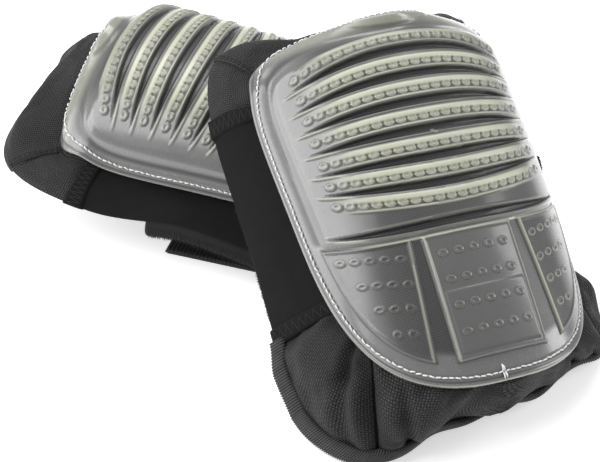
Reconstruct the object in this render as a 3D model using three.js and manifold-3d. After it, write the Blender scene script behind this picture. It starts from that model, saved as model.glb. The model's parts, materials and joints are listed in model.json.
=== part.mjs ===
// A pair of gel knee pads with clear ribbed caps. Millimetres, +Z up, ground at z = 0.
//
// Each pad is built in its own frame: x across the knee, z along the shin (up is the thigh end),
// y from the front of the cap back towards the knee. The origin is on the front centreline, at the
// lowest rib. The pads are alike. The rear pad lies on its back and the front pad leans over it.

import * as THREE from 'three';
import { mergeVertices } from 'three/addons/utils/BufferGeometryUtils.js';
import Module from 'manifold-3d';

const wasm = await Module();
wasm.setup();

// ---------- driving dimensions ----------

const DEG = Math.PI / 180;

// Cap outline, measured along its surface: a rounded rectangle, squarer at the top.
const CAP_HALF_WIDTH = 86.6;
const CAP_TOP = 94.3;
const CAP_BOTTOM = 104.8;
const CAP_CENTRE = 9.6;
const CAP_TOP_SQUARENESS = 4.7;
const CAP_BOTTOM_SQUARENESS = 2.7;
const CAP_WIDENING = 0.001;
const CAP_THICKNESS = 2.6;

// Cross section: nearly flat in the middle, then ever steeper towards the sides.
const SIDE_ANGLE = 1.246;
const SIDE_ANGLE_AT = 91;
const SIDE_ANGLE_POWER = 1.377;
const LONG_BOW = 0.0005;

// The top corners roll back.
const ROLL_START = 80;
const ROLL_LENGTH = 24;
const ROLL_DEPTH = 25;
const ROLL_CENTRE_DEPTH = 4;
const ROLL_SPREAD = 30;

// Raised ribs and tread blocks of the cap.
const RIB_ROWS = [87.4, 72.9, 58.6, 43.2, 27.8, 13.8, 0];
const RIB_HALF_WIDTH = 61;
const RIB_HEIGHT = 3.4;
const RIB_THICKNESS = 7;
const RIB_ROOT = 1.2;
const RIB_ARCH_TOP = -7.3;
const RIB_ARCH_STEP = 2.6;
const RIB_ARCH_AT = 54.6;
const RIB_END_TAPER = 0.6;
const PLAIN_RIDGE_ROW = -10.5;
const PLAIN_RIDGE_HALF_WIDTH = 66;
const PLAIN_RIDGE_HALF_THICKNESS = 2.2;
const PLAIN_RIDGE_HEIGHT = 1.6;
const PLAIN_RIDGE_ARCH = 8;
const TREAD_TOP = -19;
const TREAD_HEIGHT = 2.2;
const CENTRE_TREAD_HALF_WIDTH = 24;
const CENTRE_TREAD_BOTTOM = -81;
const SIDE_TREAD_INNER = 30;
const SIDE_TREAD_OUTER = 76;
const SIDE_TREAD_BOTTOM = -77;
const SIDE_TREAD_TIP = 6;
const SIDE_TREAD_LEAN = 5;
const SIDE_TREAD_RISE = 7;
const PLATE_ROW = 98;
const PLATE_HALF_LENGTH = 22;
const PLATE_HALF_HEIGHT = 3;
const PLATE_RAISE = 0.9;

// Rim of the fabric shell, in the pad's own x and z, and how far back it is.
const RIM_HALF_WIDTH = 90;
const RIM_TOP = 130;
const RIM_BOTTOM = -108;
const RIM_SQUARENESS = 4.7;
const RIM_SIDE_DEPTH = 67;
const RIM_TOP_DEPTH = 52;
const RIM_BOTTOM_DEPTH = 55;
const RIM_CORNER_DEPTH = 6;
const RIM_OFF_GROUND = 9;
const SKIRT_BULGE = 8;
const WING_BULGE = 1.5;
const WING_START = 0.15;

// Depth of each layer under the outer skin: where it starts and where it ends.
const PANEL_LAYER = [3.8, 4.9];
const FOAM_LAYER = [6.2, 18.2];
const GEL_LAYER = [12.6, 17.8];
const LINING_LAYER = [19.6, 21.6];
const COVER_LAYER = [3.4, 8.4];
const WING_LAYER = [3.2, 7.2];
const HEM_LAYER = [2.6, 7.8];
const BINDING_LAYER = [2.2, 9.6];

// Size of each inner layer as a share of the cap's outline.
const PANEL_SCALE = 0.88;
const FOAM_SCALE = 0.86;
const LINING_SCALE = 0.84;
const GEL_SCALE = 0.44;
const GEL_POCKET_SCALE = 0.46;
const GEL_POCKET_GAP = 0.8;
const GEL_POCKET_MOUTH = 3;

// Distances out along the skirt, as shares of its width.
const COVER_START = 0.05;
const COVER_END = 0.92;
const SIDE_COVER_END = 0.97;
const BINDING_START = 0.95;

// Stations round the pad where one piece of fabric ends and the next begins, as heights on the cap.
const CROWN_SEAM = 97.5;
const WING_TOP = 71;
const WING_BOTTOM = -30;
const HEM_WIDTH = 9;
const SEAM_GAP = 0.9;
const WING_HEM_GAP = 0.4;

// Hook tabs and the strap.
const TAB_TOP = 38;
const TAB_BOTTOM = -28;
const TAB_RIGHT_LENGTH = 21;
const TAB_RIGHT_LAYER = [3.6, 6];
const TAB_RIGHT_GAP = 1.2;
const TAB_RIGHT_TURN = 0.15;
const TAB_OFF_GROUND = 10;
const TAB_LEFT_LENGTH = 16;
const TAB_LEFT_LAYER = [3.2, 5.6];
const TAB_LEFT_INSET = 2;
const STRAP_TOP = 29;
const STRAP_BOTTOM = -30;
const STRAP_THICKNESS = 2.2;
const STRAP_OFF_GROUND = 0.1;
const STRAP_HEM_WIDTH = 12;
const STRAP_HEM_GAP = 0.4;
const STRAP_HEM_FOLD = 0.6;
const LOOP_PATCH_LENGTH = 40;
const LOOP_PATCH_THICKNESS = 1.2;
const LOOP_PATCH_LIFT = 1.8;

// Across the back, each strap runs from the right wing to its free end. The front strap sags.
const STRAP_RUNS = {
  rear: { start: 96, end: -70 },
  front: { start: 79, end: -74 },
};
const FRONT_STRAP_DEPTH = 58;
const FRONT_STRAP_SAG = 9;
const THREAD_RADIUS = 0.6;
const THREAD_INSET = 4.5;
const THREAD_CLEARANCE = 1.2;

// How each pad lies: turned to the left, sloped up towards its top end, rolled, and lifted.
const PLACEMENTS = {
  rear: { x: -14.7, y: 48.8, height: 81.8, heading: 72.2, slope: 9.2, roll: 2.6 },
  front: { x: 73.6, y: -72.4, height: 98.8, heading: 19.7, slope: 31.3, roll: 7.0 },
};

// ---------- materials ----------

function finish(color, roughness, metalness = 0) {
  return new THREE.MeshStandardMaterial({ color, roughness, metalness });
}

const CLEAR_PLASTIC = () => finish(0x9a9d98, 0.25);
const WHITE_THREAD = () => finish(0xdedcd6, 0.8);
const NYLON = () => finish(0x2b2b2d, 0.75);
const NEOPRENE = () => finish(0x151516, 0.9);
const BINDING = () => finish(0x222224, 0.85);
const FOAM = () => finish(0x3a3a3c, 0.95);
const GEL = () => finish(0x6f8fae, 0.3);
const LINING = () => finish(0x1d1d1f, 0.95);
const HOOK = () => finish(0x1a1a1b, 0.9);
const ELASTIC = () => finish(0x19191a, 0.85);
const LOOP = () => finish(0x101011, 1.0);

// ---------- the pad's curved surfaces ----------

function smooth(x) {
  const t = Math.min(1, Math.max(0, x));
  return t * t * (3 - 2 * t);
}

function mix(a, b, t) {
  return a + (b - a) * t;
}

// Walk a distance across the cap from its centreline, adding up the sideways and backward steps.
function crossSection(distance) {
  const steps = 24;
  const step = Math.abs(distance) / steps;
  let across = 0;
  let back = 0;
  for (let i = 0; i < steps; i += 1) {
    const angle = SIDE_ANGLE * Math.pow(((i + 0.5) * step) / SIDE_ANGLE_AT, SIDE_ANGLE_POWER);
    across += Math.cos(angle) * step;
    back += Math.sin(angle) * step;
  }
  return { across: Math.sign(distance) * across, back };
}

// Front skin of the pad under and over the cap: u is the distance across, s the height.
function skin(u, s) {
  const section = crossSection(u);
  const roll = Math.pow(Math.max(0, (s - ROLL_START) / ROLL_LENGTH), 2);
  const spread = 1 - Math.exp(-Math.pow(Math.abs(u) / ROLL_SPREAD, 1.8));
  const back = LONG_BOW * s * s + section.back + roll * (ROLL_CENTRE_DEPTH + ROLL_DEPTH * spread);
  return new THREE.Vector3(section.across, back, s);
}

// Point of the cap outline in a direction (0 right, 90 top, 180 left, 270 bottom), drawn in by inset.
function capOutline(angle, inset = 0) {
  const x = Math.cos(angle);
  const y = Math.sin(angle);
  const power = y >= 0 ? CAP_TOP_SQUARENESS : CAP_BOTTOM_SQUARENESS;
  const length = Math.pow(Math.pow(Math.abs(x), power) + Math.pow(Math.abs(y), power), 1 / power);
  const s = CAP_CENTRE + (y / length) * ((y >= 0 ? CAP_TOP : CAP_BOTTOM) - inset);
  const half = (CAP_HALF_WIDTH - inset) * (1 + CAP_WIDENING * (s - CAP_CENTRE));
  return { u: (x / length) * half, s };
}

// Direction in which the right or left side of the cap outline is at a given height.
function outlineAngle(height, side) {
  const top = height >= CAP_CENTRE;
  const power = top ? CAP_TOP_SQUARENESS : CAP_BOTTOM_SQUARENESS;
  const y = Math.abs(height - CAP_CENTRE) / (top ? CAP_TOP : CAP_BOTTOM);
  const x = Math.pow(1 - Math.pow(y, power), 1 / power);
  const angle = Math.atan2(y, x) * (top ? 1 : -1);
  return side > 0 ? angle : Math.PI - angle;
}

// Square -1..1 to the inside of the cap outline, scaled about the cap's centre.
function padDisc(x, y, scale) {
  const reach = Math.max(Math.abs(x), Math.abs(y));
  if (reach === 0) {
    return { u: 0, s: CAP_CENTRE };
  }
  const power = y >= 0 ? CAP_TOP_SQUARENESS : CAP_BOTTOM_SQUARENESS;
  const length = Math.pow(Math.pow(Math.abs(x), power) + Math.pow(Math.abs(y), power), 1 / power);
  const factor = (reach / length) * scale;
  const s = CAP_CENTRE + y * factor * (y >= 0 ? CAP_TOP : CAP_BOTTOM);
  return { u: x * factor * CAP_HALF_WIDTH * (1 + CAP_WIDENING * (s - CAP_CENTRE)), s };
}

// How far back the ground is below a point of the pad, for a pad in its place.
function groundDepth(placement, x, z) {
  const slope = placement.slope * DEG;
  const roll = placement.roll * DEG;
  const level = Math.cos(slope) * Math.cos(roll);
  const xUp = -Math.cos(slope) * Math.sin(roll);
  return (placement.height + x * xUp + z * Math.sin(slope)) / level;
}

// Rim of the fabric shell at the same angle. It is pressed flat where it meets the ground.
function rimPoint(placement, angle) {
  const edge = capOutline(angle);
  const top = Math.sin(angle) >= 0;
  const share = Math.abs(edge.s - CAP_CENTRE) / (top ? CAP_TOP : CAP_BOTTOM);
  const reach = top ? RIM_TOP - CAP_CENTRE : CAP_CENTRE - RIM_BOTTOM;
  const level = (top ? CAP_TOP : CAP_BOTTOM) / reach;
  const height = level * share + (1 - level) * Math.pow(share, 6);
  const z = CAP_CENTRE + (top ? 1 : -1) * height * reach;
  const width = Math.pow(Math.max(0, 1 - Math.pow(height, RIM_SQUARENESS)), 1 / RIM_SQUARENESS);
  const x = Math.sign(Math.cos(angle)) * RIM_HALF_WIDTH * width;
  const middle = top ? RIM_TOP_DEPTH : RIM_BOTTOM_DEPTH;
  const corner = RIM_CORNER_DEPTH * Math.pow(Math.sin(2 * angle), 2);
  const depth = mix(middle, RIM_SIDE_DEPTH, width * width) + corner;
  return new THREE.Vector3(x, Math.min(depth, groundDepth(placement, x, z) - RIM_OFF_GROUND), z);
}

// Fabric skirt from the cap's edge (out = 0) to the rim (out = 1), bulging a little.
function skirt(placement, angle, out) {
  const edge = capOutline(angle);
  const start = skin(edge.u, edge.s);
  const end = rimPoint(placement, angle);
  const outward = new THREE.Vector3(end.x - start.x, 0, end.z - start.z);
  const reach = Math.max(outward.length(), 1e-6);
  outward.divideScalar(reach);
  const back = end.y - start.y;
  const chord = Math.hypot(reach, back);
  const sideness = Math.pow(Math.abs(Math.cos(angle)), 0.5);
  const bulge = 2 * mix(SKIRT_BULGE, WING_BULGE, sideness);
  const control = start.clone().lerp(end, 0.5);
  control.addScaledVector(outward, (bulge * back) / chord);
  control.y -= (bulge * reach) / chord;
  const a = start.lerp(control, out);
  const b = control.clone().lerp(end, out);
  return a.lerp(b, out);
}

// Unit normal into the pad, from three neighbouring points of a surface.
function inward(surface, a, b) {
  const small = 1e-3;
  const alongA = surface(a + small, b).sub(surface(a - small, b));
  const alongB = surface(a, b + small).sub(surface(a, b - small));
  return alongA.cross(alongB).normalize();
}

// Point at a depth under the skin.
function underSkin(u, s, depth) {
  const normal = inward(skin, u, s);
  return skin(u, s).addScaledVector(normal.y < 0 ? normal.negate() : normal, depth);
}

// ---------- solids ----------

// Weld a geometry into one closed body with its faces outward.
function weld(geometry) {
  const bare = geometry.clone();
  bare.deleteAttribute('normal');
  bare.deleteAttribute('uv');
  const closed = mergeVertices(bare, 1e-4);
  const position = closed.attributes.position;
  const index = closed.index.array;
  const a = new THREE.Vector3();
  const b = new THREE.Vector3();
  const c = new THREE.Vector3();
  let volume = 0;
  for (let i = 0; i < index.length; i += 3) {
    a.fromBufferAttribute(position, index[i]);
    b.fromBufferAttribute(position, index[i + 1]);
    c.fromBufferAttribute(position, index[i + 2]);
    volume += a.dot(b.cross(c));
  }
  if (volume < 0) {
    for (let i = 0; i < index.length; i += 3) {
      [index[i + 1], index[i + 2]] = [index[i + 2], index[i + 1]];
    }
  }
  closed.computeVertexNormals();
  return closed;
}

// Bend a unit box (each side cut into parts) so that its three coordinates run 0..1 over place.
function bentBox(partsA, partsB, place) {
  const box = new THREE.BoxGeometry(1, 1, 1, partsA, partsB, 1);
  const position = box.attributes.position;
  for (let i = 0; i < position.count; i += 1) {
    const point = place(position.getX(i) + 0.5, position.getY(i) + 0.5, position.getZ(i) + 0.5);
    position.setXYZ(i, point.x, point.y, point.z);
  }
  return weld(box);
}

// Layer of the pad inside the cap outline, between two depths under the skin.
function discLayer(scale, layer, parts) {
  return bentBox(parts, parts, (a, b, c) => {
    const { u, s } = padDisc(2 * a - 1, 2 * b - 1, scale);
    return underSkin(u, s, mix(...layer, c));
  });
}

// Patch of a layer over a rectangle of the skin; across and along turn 0..1 into u and s.
function skinPatch(partsA, partsB, layer, across, along) {
  return bentBox(partsA, partsB, (a, b, c) => {
    return underSkin(across(a, b), along(a, b), mix(...layer, c));
  });
}

// Sector of the skirt between two angles and two distances out, between two depths.
function skirtSector(placement, from, to, near, far, layer, parts) {
  const surface = (angle, out) => skirt(placement, angle, out);
  return bentBox(parts, 3, (a, b, c) => {
    const angle = mix(from, to, a);
    const out = mix(near, far, b);
    const normal = inward(surface, angle, out);
    return surface(angle, out).addScaledVector(normal, -mix(...layer, c));
  });
}

function toSolid(geometry) {
  const closed = weld(geometry);
  return new wasm.Manifold(new wasm.Mesh({
    numProp: 3,
    vertProperties: new Float32Array(closed.attributes.position.array),
    triVerts: new Uint32Array(closed.index.array),
  }));
}

function toGeometry(solid) {
  const mesh = solid.getMesh();
  const geometry = new THREE.BufferGeometry();
  geometry.setAttribute('position', new THREE.BufferAttribute(mesh.vertProperties, 3));
  geometry.setIndex(new THREE.BufferAttribute(mesh.triVerts, 1));
  geometry.computeVertexNormals();
  return geometry;
}

// ---------- cap ----------

function ribBend(index, u) {
  return (RIB_ARCH_TOP + RIB_ARCH_STEP * index) * Math.pow(u / RIB_ARCH_AT, 2);
}

// Raised rib across the cap, its ends curving down near the top and up lower down.
function rib(index) {
  const row = RIB_ROWS[index];
  const across = (a) => mix(-RIB_HALF_WIDTH, RIB_HALF_WIDTH, a);
  const along = (a, b) => {
    const taper = Math.pow(Math.abs(2 * a - 1), 4);
    const half = (RIB_THICKNESS / 2) * (1 - RIB_END_TAPER * taper);
    return row + ribBend(index, across(a)) + mix(-half, half, b);
  };
  return skinPatch(8, 1, [-RIB_HEIGHT, RIB_ROOT], across, along);
}

function plainRidge() {
  const across = (a) => mix(-PLAIN_RIDGE_HALF_WIDTH, PLAIN_RIDGE_HALF_WIDTH, a);
  const along = (a, b) => {
    const arch = PLAIN_RIDGE_ARCH * Math.pow(2 * a - 1, 2);
    return PLAIN_RIDGE_ROW + arch + mix(-PLAIN_RIDGE_HALF_THICKNESS, PLAIN_RIDGE_HALF_THICKNESS, b);
  };
  return skinPatch(8, 1, [-PLAIN_RIDGE_HEIGHT, RIB_ROOT], across, along);
}

// Flat-topped block under the knee point, which the wearer kneels on.
function centreTread() {
  const across = (a) => mix(-CENTRE_TREAD_HALF_WIDTH, CENTRE_TREAD_HALF_WIDTH, a);
  const along = (a, b) => mix(CENTRE_TREAD_BOTTOM, TREAD_TOP, b);
  return skinPatch(4, 5, [-TREAD_HEIGHT, RIB_ROOT], across, along);
}

// Fin-shaped block on each side: straight inner edge, rounded outer edge meeting it low down.
function sideTread(side) {
  const across = (a, b) => {
    const outer = mix(SIDE_TREAD_INNER + SIDE_TREAD_TIP, SIDE_TREAD_OUTER, Math.pow(b, 0.55));
    return side * mix(SIDE_TREAD_INNER + SIDE_TREAD_LEAN * (1 - b), outer, a);
  };
  const along = (a, b) => mix(SIDE_TREAD_BOTTOM, TREAD_TOP, b) + SIDE_TREAD_RISE * Math.pow(a, 2) * b;
  return skinPatch(5, 6, [-TREAD_HEIGHT, RIB_ROOT], across, along);
}

// Plain raised oval at the very top of the cap.
function topPlate() {
  const rounded = (x, other) => x * Math.sqrt(1 - 0.5 * other * other);
  const across = (a, b) => PLATE_HALF_LENGTH * rounded(2 * a - 1, 2 * b - 1);
  const along = (a, b) => PLATE_ROW + PLATE_HALF_HEIGHT * rounded(2 * b - 1, 2 * a - 1);
  return skinPatch(6, 2, [-PLATE_RAISE, RIB_ROOT], across, along);
}

function cap() {
  let solid = toSolid(discLayer(1, [0, CAP_THICKNESS], 14));
  const raised = [plainRidge(), centreTread(), sideTread(-1), sideTread(1), topPlate()];
  RIB_ROWS.forEach((row, index) => raised.push(rib(index)));
  for (const piece of raised) {
    solid = solid.add(toSolid(piece));
  }
  return toGeometry(solid);
}

// Lockstitch just inside the cap's edge, lying on the cap.
function capThread() {
  const radius = THREAD_RADIUS;
  const ring = new THREE.TorusGeometry(10, 1, 3, 72);
  const position = ring.attributes.position;
  for (let i = 0; i < position.count; i += 1) {
    const x = position.getX(i);
    const y = position.getY(i);
    const angle = Math.atan2(y, x);
    const { u, s } = capOutline(angle, THREAD_INSET - (Math.hypot(x, y) - 10) * radius);
    const point = underSkin(u, s, position.getZ(i) * radius - radius - THREAD_CLEARANCE);
    position.setXYZ(i, point.x, point.y, point.z);
  }
  return weld(ring);
}

// ---------- soft parts ----------

// Foam shell with a pocket for the gel in its knee side.
function foamCore() {
  const foam = toSolid(discLayer(FOAM_SCALE, FOAM_LAYER, 10));
  const pocketLayer = [GEL_LAYER[0] - GEL_POCKET_GAP, FOAM_LAYER[1] + GEL_POCKET_MOUTH];
  const pocket = toSolid(discLayer(GEL_POCKET_SCALE, pocketLayer, 5));
  return toGeometry(foam.subtract(pocket));
}

// The shell's fabric between two heights on one side of the cap.
function sideSector(placement, side, low, high, near, far, layer, parts) {
  const from = outlineAngle(low, side);
  const to = outlineAngle(high, side);
  return skirtSector(placement, Math.min(from, to), Math.max(from, to), near, far, layer, parts);
}

// The shell's fabric over the top of the pad, between the two crown seams.
function crownSector(placement, near, far, layer, parts) {
  const from = outlineAngle(CROWN_SEAM + SEAM_GAP / 2, 1);
  return skirtSector(placement, from, Math.PI - from, near, far, layer, parts);
}

// The shell's fabric round the bottom of the pad, between the two wings.
function lowerSector(placement, near, far, layer, parts) {
  const from = outlineAngle(WING_BOTTOM - HEM_WIDTH - SEAM_GAP, -1);
  const to = 2 * Math.PI + outlineAngle(WING_BOTTOM - HEM_WIDTH - SEAM_GAP, 1);
  return skirtSector(placement, from, to, near, far, layer, parts);
}

// ---------- hook tabs and strap ----------

// Point of the right hook tab, which carries on from the wing's trailing edge, off the ground.
function rightTabPoint(placement, reach, z) {
  const angle = outlineAngle(z, 1);
  const point = skirt(placement, angle, 1);
  const before = skirt(placement, angle, 0.9);
  const start = Math.atan2(point.y - before.y, point.x - before.x);
  const steps = 8;
  for (let i = 0; i < steps; i += 1) {
    const heading = start + TAB_RIGHT_TURN * smooth((((i + 0.5) / steps) * reach) / TAB_RIGHT_LENGTH);
    point.x += (Math.cos(heading) * reach) / steps;
    point.y += (Math.sin(heading) * reach) / steps;
  }
  point.y = Math.min(point.y, groundDepth(placement, point.x, z) - TAB_OFF_GROUND);
  return point.setZ(z);
}

// Tab of hook tape on the right wing, standing off behind its trailing edge.
function rightHookTab(placement) {
  const surface = (reach, z) => rightTabPoint(placement, reach, z);
  return bentBox(5, 4, (a, b, c) => {
    const reach = mix(TAB_RIGHT_GAP, TAB_RIGHT_LENGTH, a);
    const z = mix(TAB_BOTTOM, TAB_TOP, b);
    const normal = inward(surface, reach, z);
    return surface(reach, z).addScaledVector(normal, -mix(...TAB_RIGHT_LAYER, c));
  });
}

// Tab of hook tape on the left wing, folded in flat behind its trailing edge.
function leftHookTab(placement) {
  return bentBox(3, 4, (a, b, c) => {
    const z = mix(TAB_BOTTOM, TAB_TOP, b);
    const point = skirt(placement, outlineAngle(z, -1), 1);
    point.x += TAB_LEFT_INSET + a * TAB_LEFT_LENGTH;
    point.y += mix(...TAB_LEFT_LAYER, c);
    return point.setZ(z);
  });
}

// How far back the strap is at a point across and along the pad.
function strapDepth(name, placement, x, z) {
  if (name === 'rear') {
    return groundDepth(placement, x, z) - STRAP_THICKNESS - STRAP_OFF_GROUND;
  }
  return FRONT_STRAP_DEPTH - FRONT_STRAP_SAG * (1 - Math.pow(x / RIM_HALF_WIDTH, 2));
}

function strapPiece(name, placement, from, to, lift, thickness, parts) {
  return bentBox(parts, 2, (a, b, c) => {
    const x = mix(from, to, a);
    const z = mix(STRAP_BOTTOM, STRAP_TOP, b);
    return new THREE.Vector3(x, strapDepth(name, placement, x, z) - lift + c * thickness, z);
  });
}

// ---------- assembly ----------

function named(name, geometry, material) {
  const mesh = new THREE.Mesh(geometry, material);
  mesh.name = name;
  return mesh;
}

function wingPieces(prefix, placement, side) {
  const where = side > 0 ? 'right' : 'left';
  const low = WING_BOTTOM;
  const high = WING_TOP;
  const near = WING_START;
  const gap = WING_HEM_GAP;
  const wing = sideSector(placement, side, low + gap, high - gap, near, 1, WING_LAYER, 8);
  const upper = sideSector(placement, side, high, high + HEM_WIDTH, near, 1, HEM_LAYER, 2);
  const lower = sideSector(placement, side, low - HEM_WIDTH, low, near, 1, HEM_LAYER, 2);
  const tab = side > 0 ? rightHookTab(placement) : leftHookTab(placement);
  return [
    named(`${prefix}_${where}_wing`, wing, NEOPRENE()),
    named(`${prefix}_${where}_upper_hem`, upper, NEOPRENE()),
    named(`${prefix}_${where}_lower_hem`, lower, NEOPRENE()),
    named(`${prefix}_${where}_hook_tab`, tab, HOOK()),
  ];
}

function sideCover(placement, side) {
  const low = WING_TOP + HEM_WIDTH + SEAM_GAP;
  const high = CROWN_SEAM - SEAM_GAP / 2;
  return sideSector(placement, side, low, high, COVER_START, SIDE_COVER_END, COVER_LAYER, 4);
}

function strapPieces(prefix, placement) {
  const { start, end } = STRAP_RUNS[prefix];
  const seam = end + STRAP_HEM_WIDTH;
  const patch = seam + LOOP_PATCH_LENGTH;
  const fold = STRAP_HEM_FOLD;
  const piece = (from, to, lift, thickness, parts) => {
    return strapPiece(prefix, placement, from, to, lift, thickness, parts);
  };
  const base = piece(seam + STRAP_HEM_GAP, start, 0, STRAP_THICKNESS, 10);
  const hem = piece(end, seam, fold, STRAP_THICKNESS + fold, 1);
  const loop = piece(seam + 1, patch, LOOP_PATCH_LIFT, LOOP_PATCH_THICKNESS, 3);
  return [
    named(`${prefix}_strap`, base, ELASTIC()),
    named(`${prefix}_strap_hem`, hem, ELASTIC()),
    named(`${prefix}_strap_loop_patch`, loop, LOOP()),
  ];
}

function makePad(prefix) {
  const placement = PLACEMENTS[prefix];
  const cover = [COVER_START, COVER_END, COVER_LAYER];
  const binding = [BINDING_START, 1, BINDING_LAYER];
  const pad = new THREE.Group();
  pad.add(
    named(`${prefix}_cap`, cap(), CLEAR_PLASTIC()),
    named(`${prefix}_cap_thread`, capThread(), WHITE_THREAD()),
    named(`${prefix}_front_panel`, discLayer(PANEL_SCALE, PANEL_LAYER, 10), NYLON()),
    named(`${prefix}_foam_core`, foamCore(), FOAM()),
    named(`${prefix}_gel_insert`, discLayer(GEL_SCALE, GEL_LAYER, 5), GEL()),
    named(`${prefix}_knee_lining`, discLayer(LINING_SCALE, LINING_LAYER, 10), LINING()),
    named(`${prefix}_crown_cover`, crownSector(placement, ...cover, 16), NYLON()),
    named(`${prefix}_left_side_cover`, sideCover(placement, -1), NYLON()),
    named(`${prefix}_right_side_cover`, sideCover(placement, 1), NYLON()),
    named(`${prefix}_lower_cover`, lowerSector(placement, ...cover, 20), NYLON()),
    named(`${prefix}_crown_binding`, crownSector(placement, ...binding, 16), BINDING()),
    named(`${prefix}_lower_binding`, lowerSector(placement, ...binding, 20), BINDING()),
    ...wingPieces(prefix, placement, -1),
    ...wingPieces(prefix, placement, 1),
    ...strapPieces(prefix, placement),
  );
  pad.rotation.z = placement.roll * DEG;
  const tilt = new THREE.Group();
  tilt.rotation.x = (placement.slope - 90) * DEG;
  tilt.add(pad);
  const place = new THREE.Group();
  place.rotation.z = placement.heading * DEG;
  place.position.set(placement.x, placement.y, placement.height);
  place.add(tilt);
  return place;
}

const group = new THREE.Group();
group.add(makePad('rear'), makePad('front'));

export default group;
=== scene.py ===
"""Looks of a pair of gel knee pads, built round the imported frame.

Every pad size is in millimetres in the pad's own frame: x across the knee, y from the front of the cap
back towards the knee, z up to the thigh end, origin on the front centreline at the lowest rib.
Meshes are made in that frame and moved to metres in the row frame as the last step.
"""
import json
import math

import bpy
import numpy as np
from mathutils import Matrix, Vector


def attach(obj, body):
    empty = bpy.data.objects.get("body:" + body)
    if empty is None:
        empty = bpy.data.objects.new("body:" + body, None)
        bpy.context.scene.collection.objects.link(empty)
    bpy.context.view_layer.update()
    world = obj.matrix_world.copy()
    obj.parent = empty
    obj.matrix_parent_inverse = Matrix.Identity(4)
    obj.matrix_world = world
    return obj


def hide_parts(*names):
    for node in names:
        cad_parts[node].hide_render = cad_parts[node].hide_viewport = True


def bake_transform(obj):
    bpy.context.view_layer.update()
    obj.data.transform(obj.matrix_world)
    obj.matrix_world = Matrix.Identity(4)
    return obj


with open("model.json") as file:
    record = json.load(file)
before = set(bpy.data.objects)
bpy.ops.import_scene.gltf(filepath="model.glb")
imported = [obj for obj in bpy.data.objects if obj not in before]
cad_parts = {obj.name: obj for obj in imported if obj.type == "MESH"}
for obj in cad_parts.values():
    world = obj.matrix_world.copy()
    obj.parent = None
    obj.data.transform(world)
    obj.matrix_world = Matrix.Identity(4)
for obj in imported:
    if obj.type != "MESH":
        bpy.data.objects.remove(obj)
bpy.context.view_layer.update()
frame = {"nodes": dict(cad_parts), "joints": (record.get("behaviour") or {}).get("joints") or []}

# ---------- pad dimensions ----------

# Cap surface, the same as the frame's.
CAP_HALF_WIDTH = 86.6
CAP_TOP = 94.3
CAP_BOTTOM = 104.8
CAP_CENTRE = 9.6
CAP_TOP_SQUARENESS = 4.7
CAP_BOTTOM_SQUARENESS = 2.7
CAP_WIDENING = 0.001
CAP_THICKNESS = 2.6
SIDE_ANGLE = 1.246
SIDE_ANGLE_AT = 91
SIDE_ANGLE_POWER = 1.377
LONG_BOW = 0.0005
ROLL_START = 80
ROLL_LENGTH = 24
ROLL_DEPTH = 25
ROLL_CENTRE_DEPTH = 4
ROLL_SPREAD = 30

# Rim of the fabric shell, as it lies on each pad. Tops are for the middle and the corners.
RIM_HALF_WIDTH = 90
RIM_TOP = {"rear": (132, 143), "front": (99, 139)}
CROWN_BULGE = {"rear": 6, "front": 10}
RIM_BOTTOM = -108
RIM_SQUARENESS = 4.7
RIM_SIDE_DEPTH = 67
RIM_TOP_DEPTH = 52
RIM_BOTTOM_DEPTH = 55
RIM_CORNER_DEPTH = 6
RIM_OFF_GROUND = 9
SKIRT_BULGE = 8
WING_BULGE = 1.5
WING_TURNED_UP = 10
WING_TURNED_MORE = 8
LOWER_RIM_DROP = 10
LOWER_RIM_LIFT = 12
LOWER_RIM_WAVE = 2
HINGE_MIDDLE = np.array([0, 43.5, 20])
PAD_INSIDE = np.array([0, 45, 10])

# Cap relief, as heights above the skin and distances along it.
RIB_ROWS = [87.4, 72.9, 58.6, 43.2, 27.8, 13.8, 0]
RIB_ARCH_TOP = -7.3
RIB_ARCH_STEP = 2.6
RIB_ARCH_AT = 54.6
RIB_END = 61
CREST_AT = 102
CREST_HALF_WIDTH = 15
CREST_SWELL = 6
RIB_RAISE = 0.9
PLATFORM_RAISE = 2.1
PLATFORM_INSET = 10
PLATFORM_SLOPE = 9
GROOVE_END = 66
GROOVE_HALF_WIDTH = 2.5
GROOVE_DEPTH = 2.5
STUD_PITCH = 6.1
STUD_COUNT = 20
STUD_RADIUS = 2.6
STUD_HALF_HEIGHT = 2.2
STUD_BELOW = 1.2
STUD_DISH = 0.35
LEDGE_BELOW = 4.6
LEDGE_HEIGHT = 0.5
TOP_RIB_TONE = 0.6
BEAD_HEIGHT = 0.35
STITCH_CHANNEL_DEPTH = 0.5
FOOT_CHANNEL_DEPTH = 0.8
LAST_GROOVE_ABOVE = 5.6
LAST_GROOVE_END = 72
TREAD_TOP = -19
TREAD_TOP_ARCH = 9
TREAD_TOP_ARCH_AT = 70
TREAD_RAISE = 1.3
TREAD_EDGE_HEIGHT = 0.45
CENTRE_TREAD_HALF_WIDTH = 24
CENTRE_TREAD_BOTTOM = -81
PANEL_TOP = -47.5
PANEL_INSET = 2.8
PANEL_RAISE = 0.5
SIDE_TREAD_INNER = 30
SIDE_TREAD_LEAN = 5
SIDE_TREAD_INSET = 11.5
SIDE_TREAD_BOTTOM = -77
TREAD_STUD_ROWS = [-28.5, -41.7, -54.7, -68]
TREAD_STUD_PITCH = 8.2
TREAD_STUD_SIZE = (2.7, 1.9)
SIDE_STUD_ROWS = [-26.2, -38.9, -51, -63.7]
SIDE_STUD_STARTS = [36.5, 36.5, 38.8, 41]
SIDE_STUD_PITCH = 7.2
SIDE_STUD_SLOPE = 0.27
PLATE_ROW = 97.5
PLATE_SIZE = (23, 3.4)
GATE_RADIUS = 1.2
THREAD_INSET = 4.5

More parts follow.
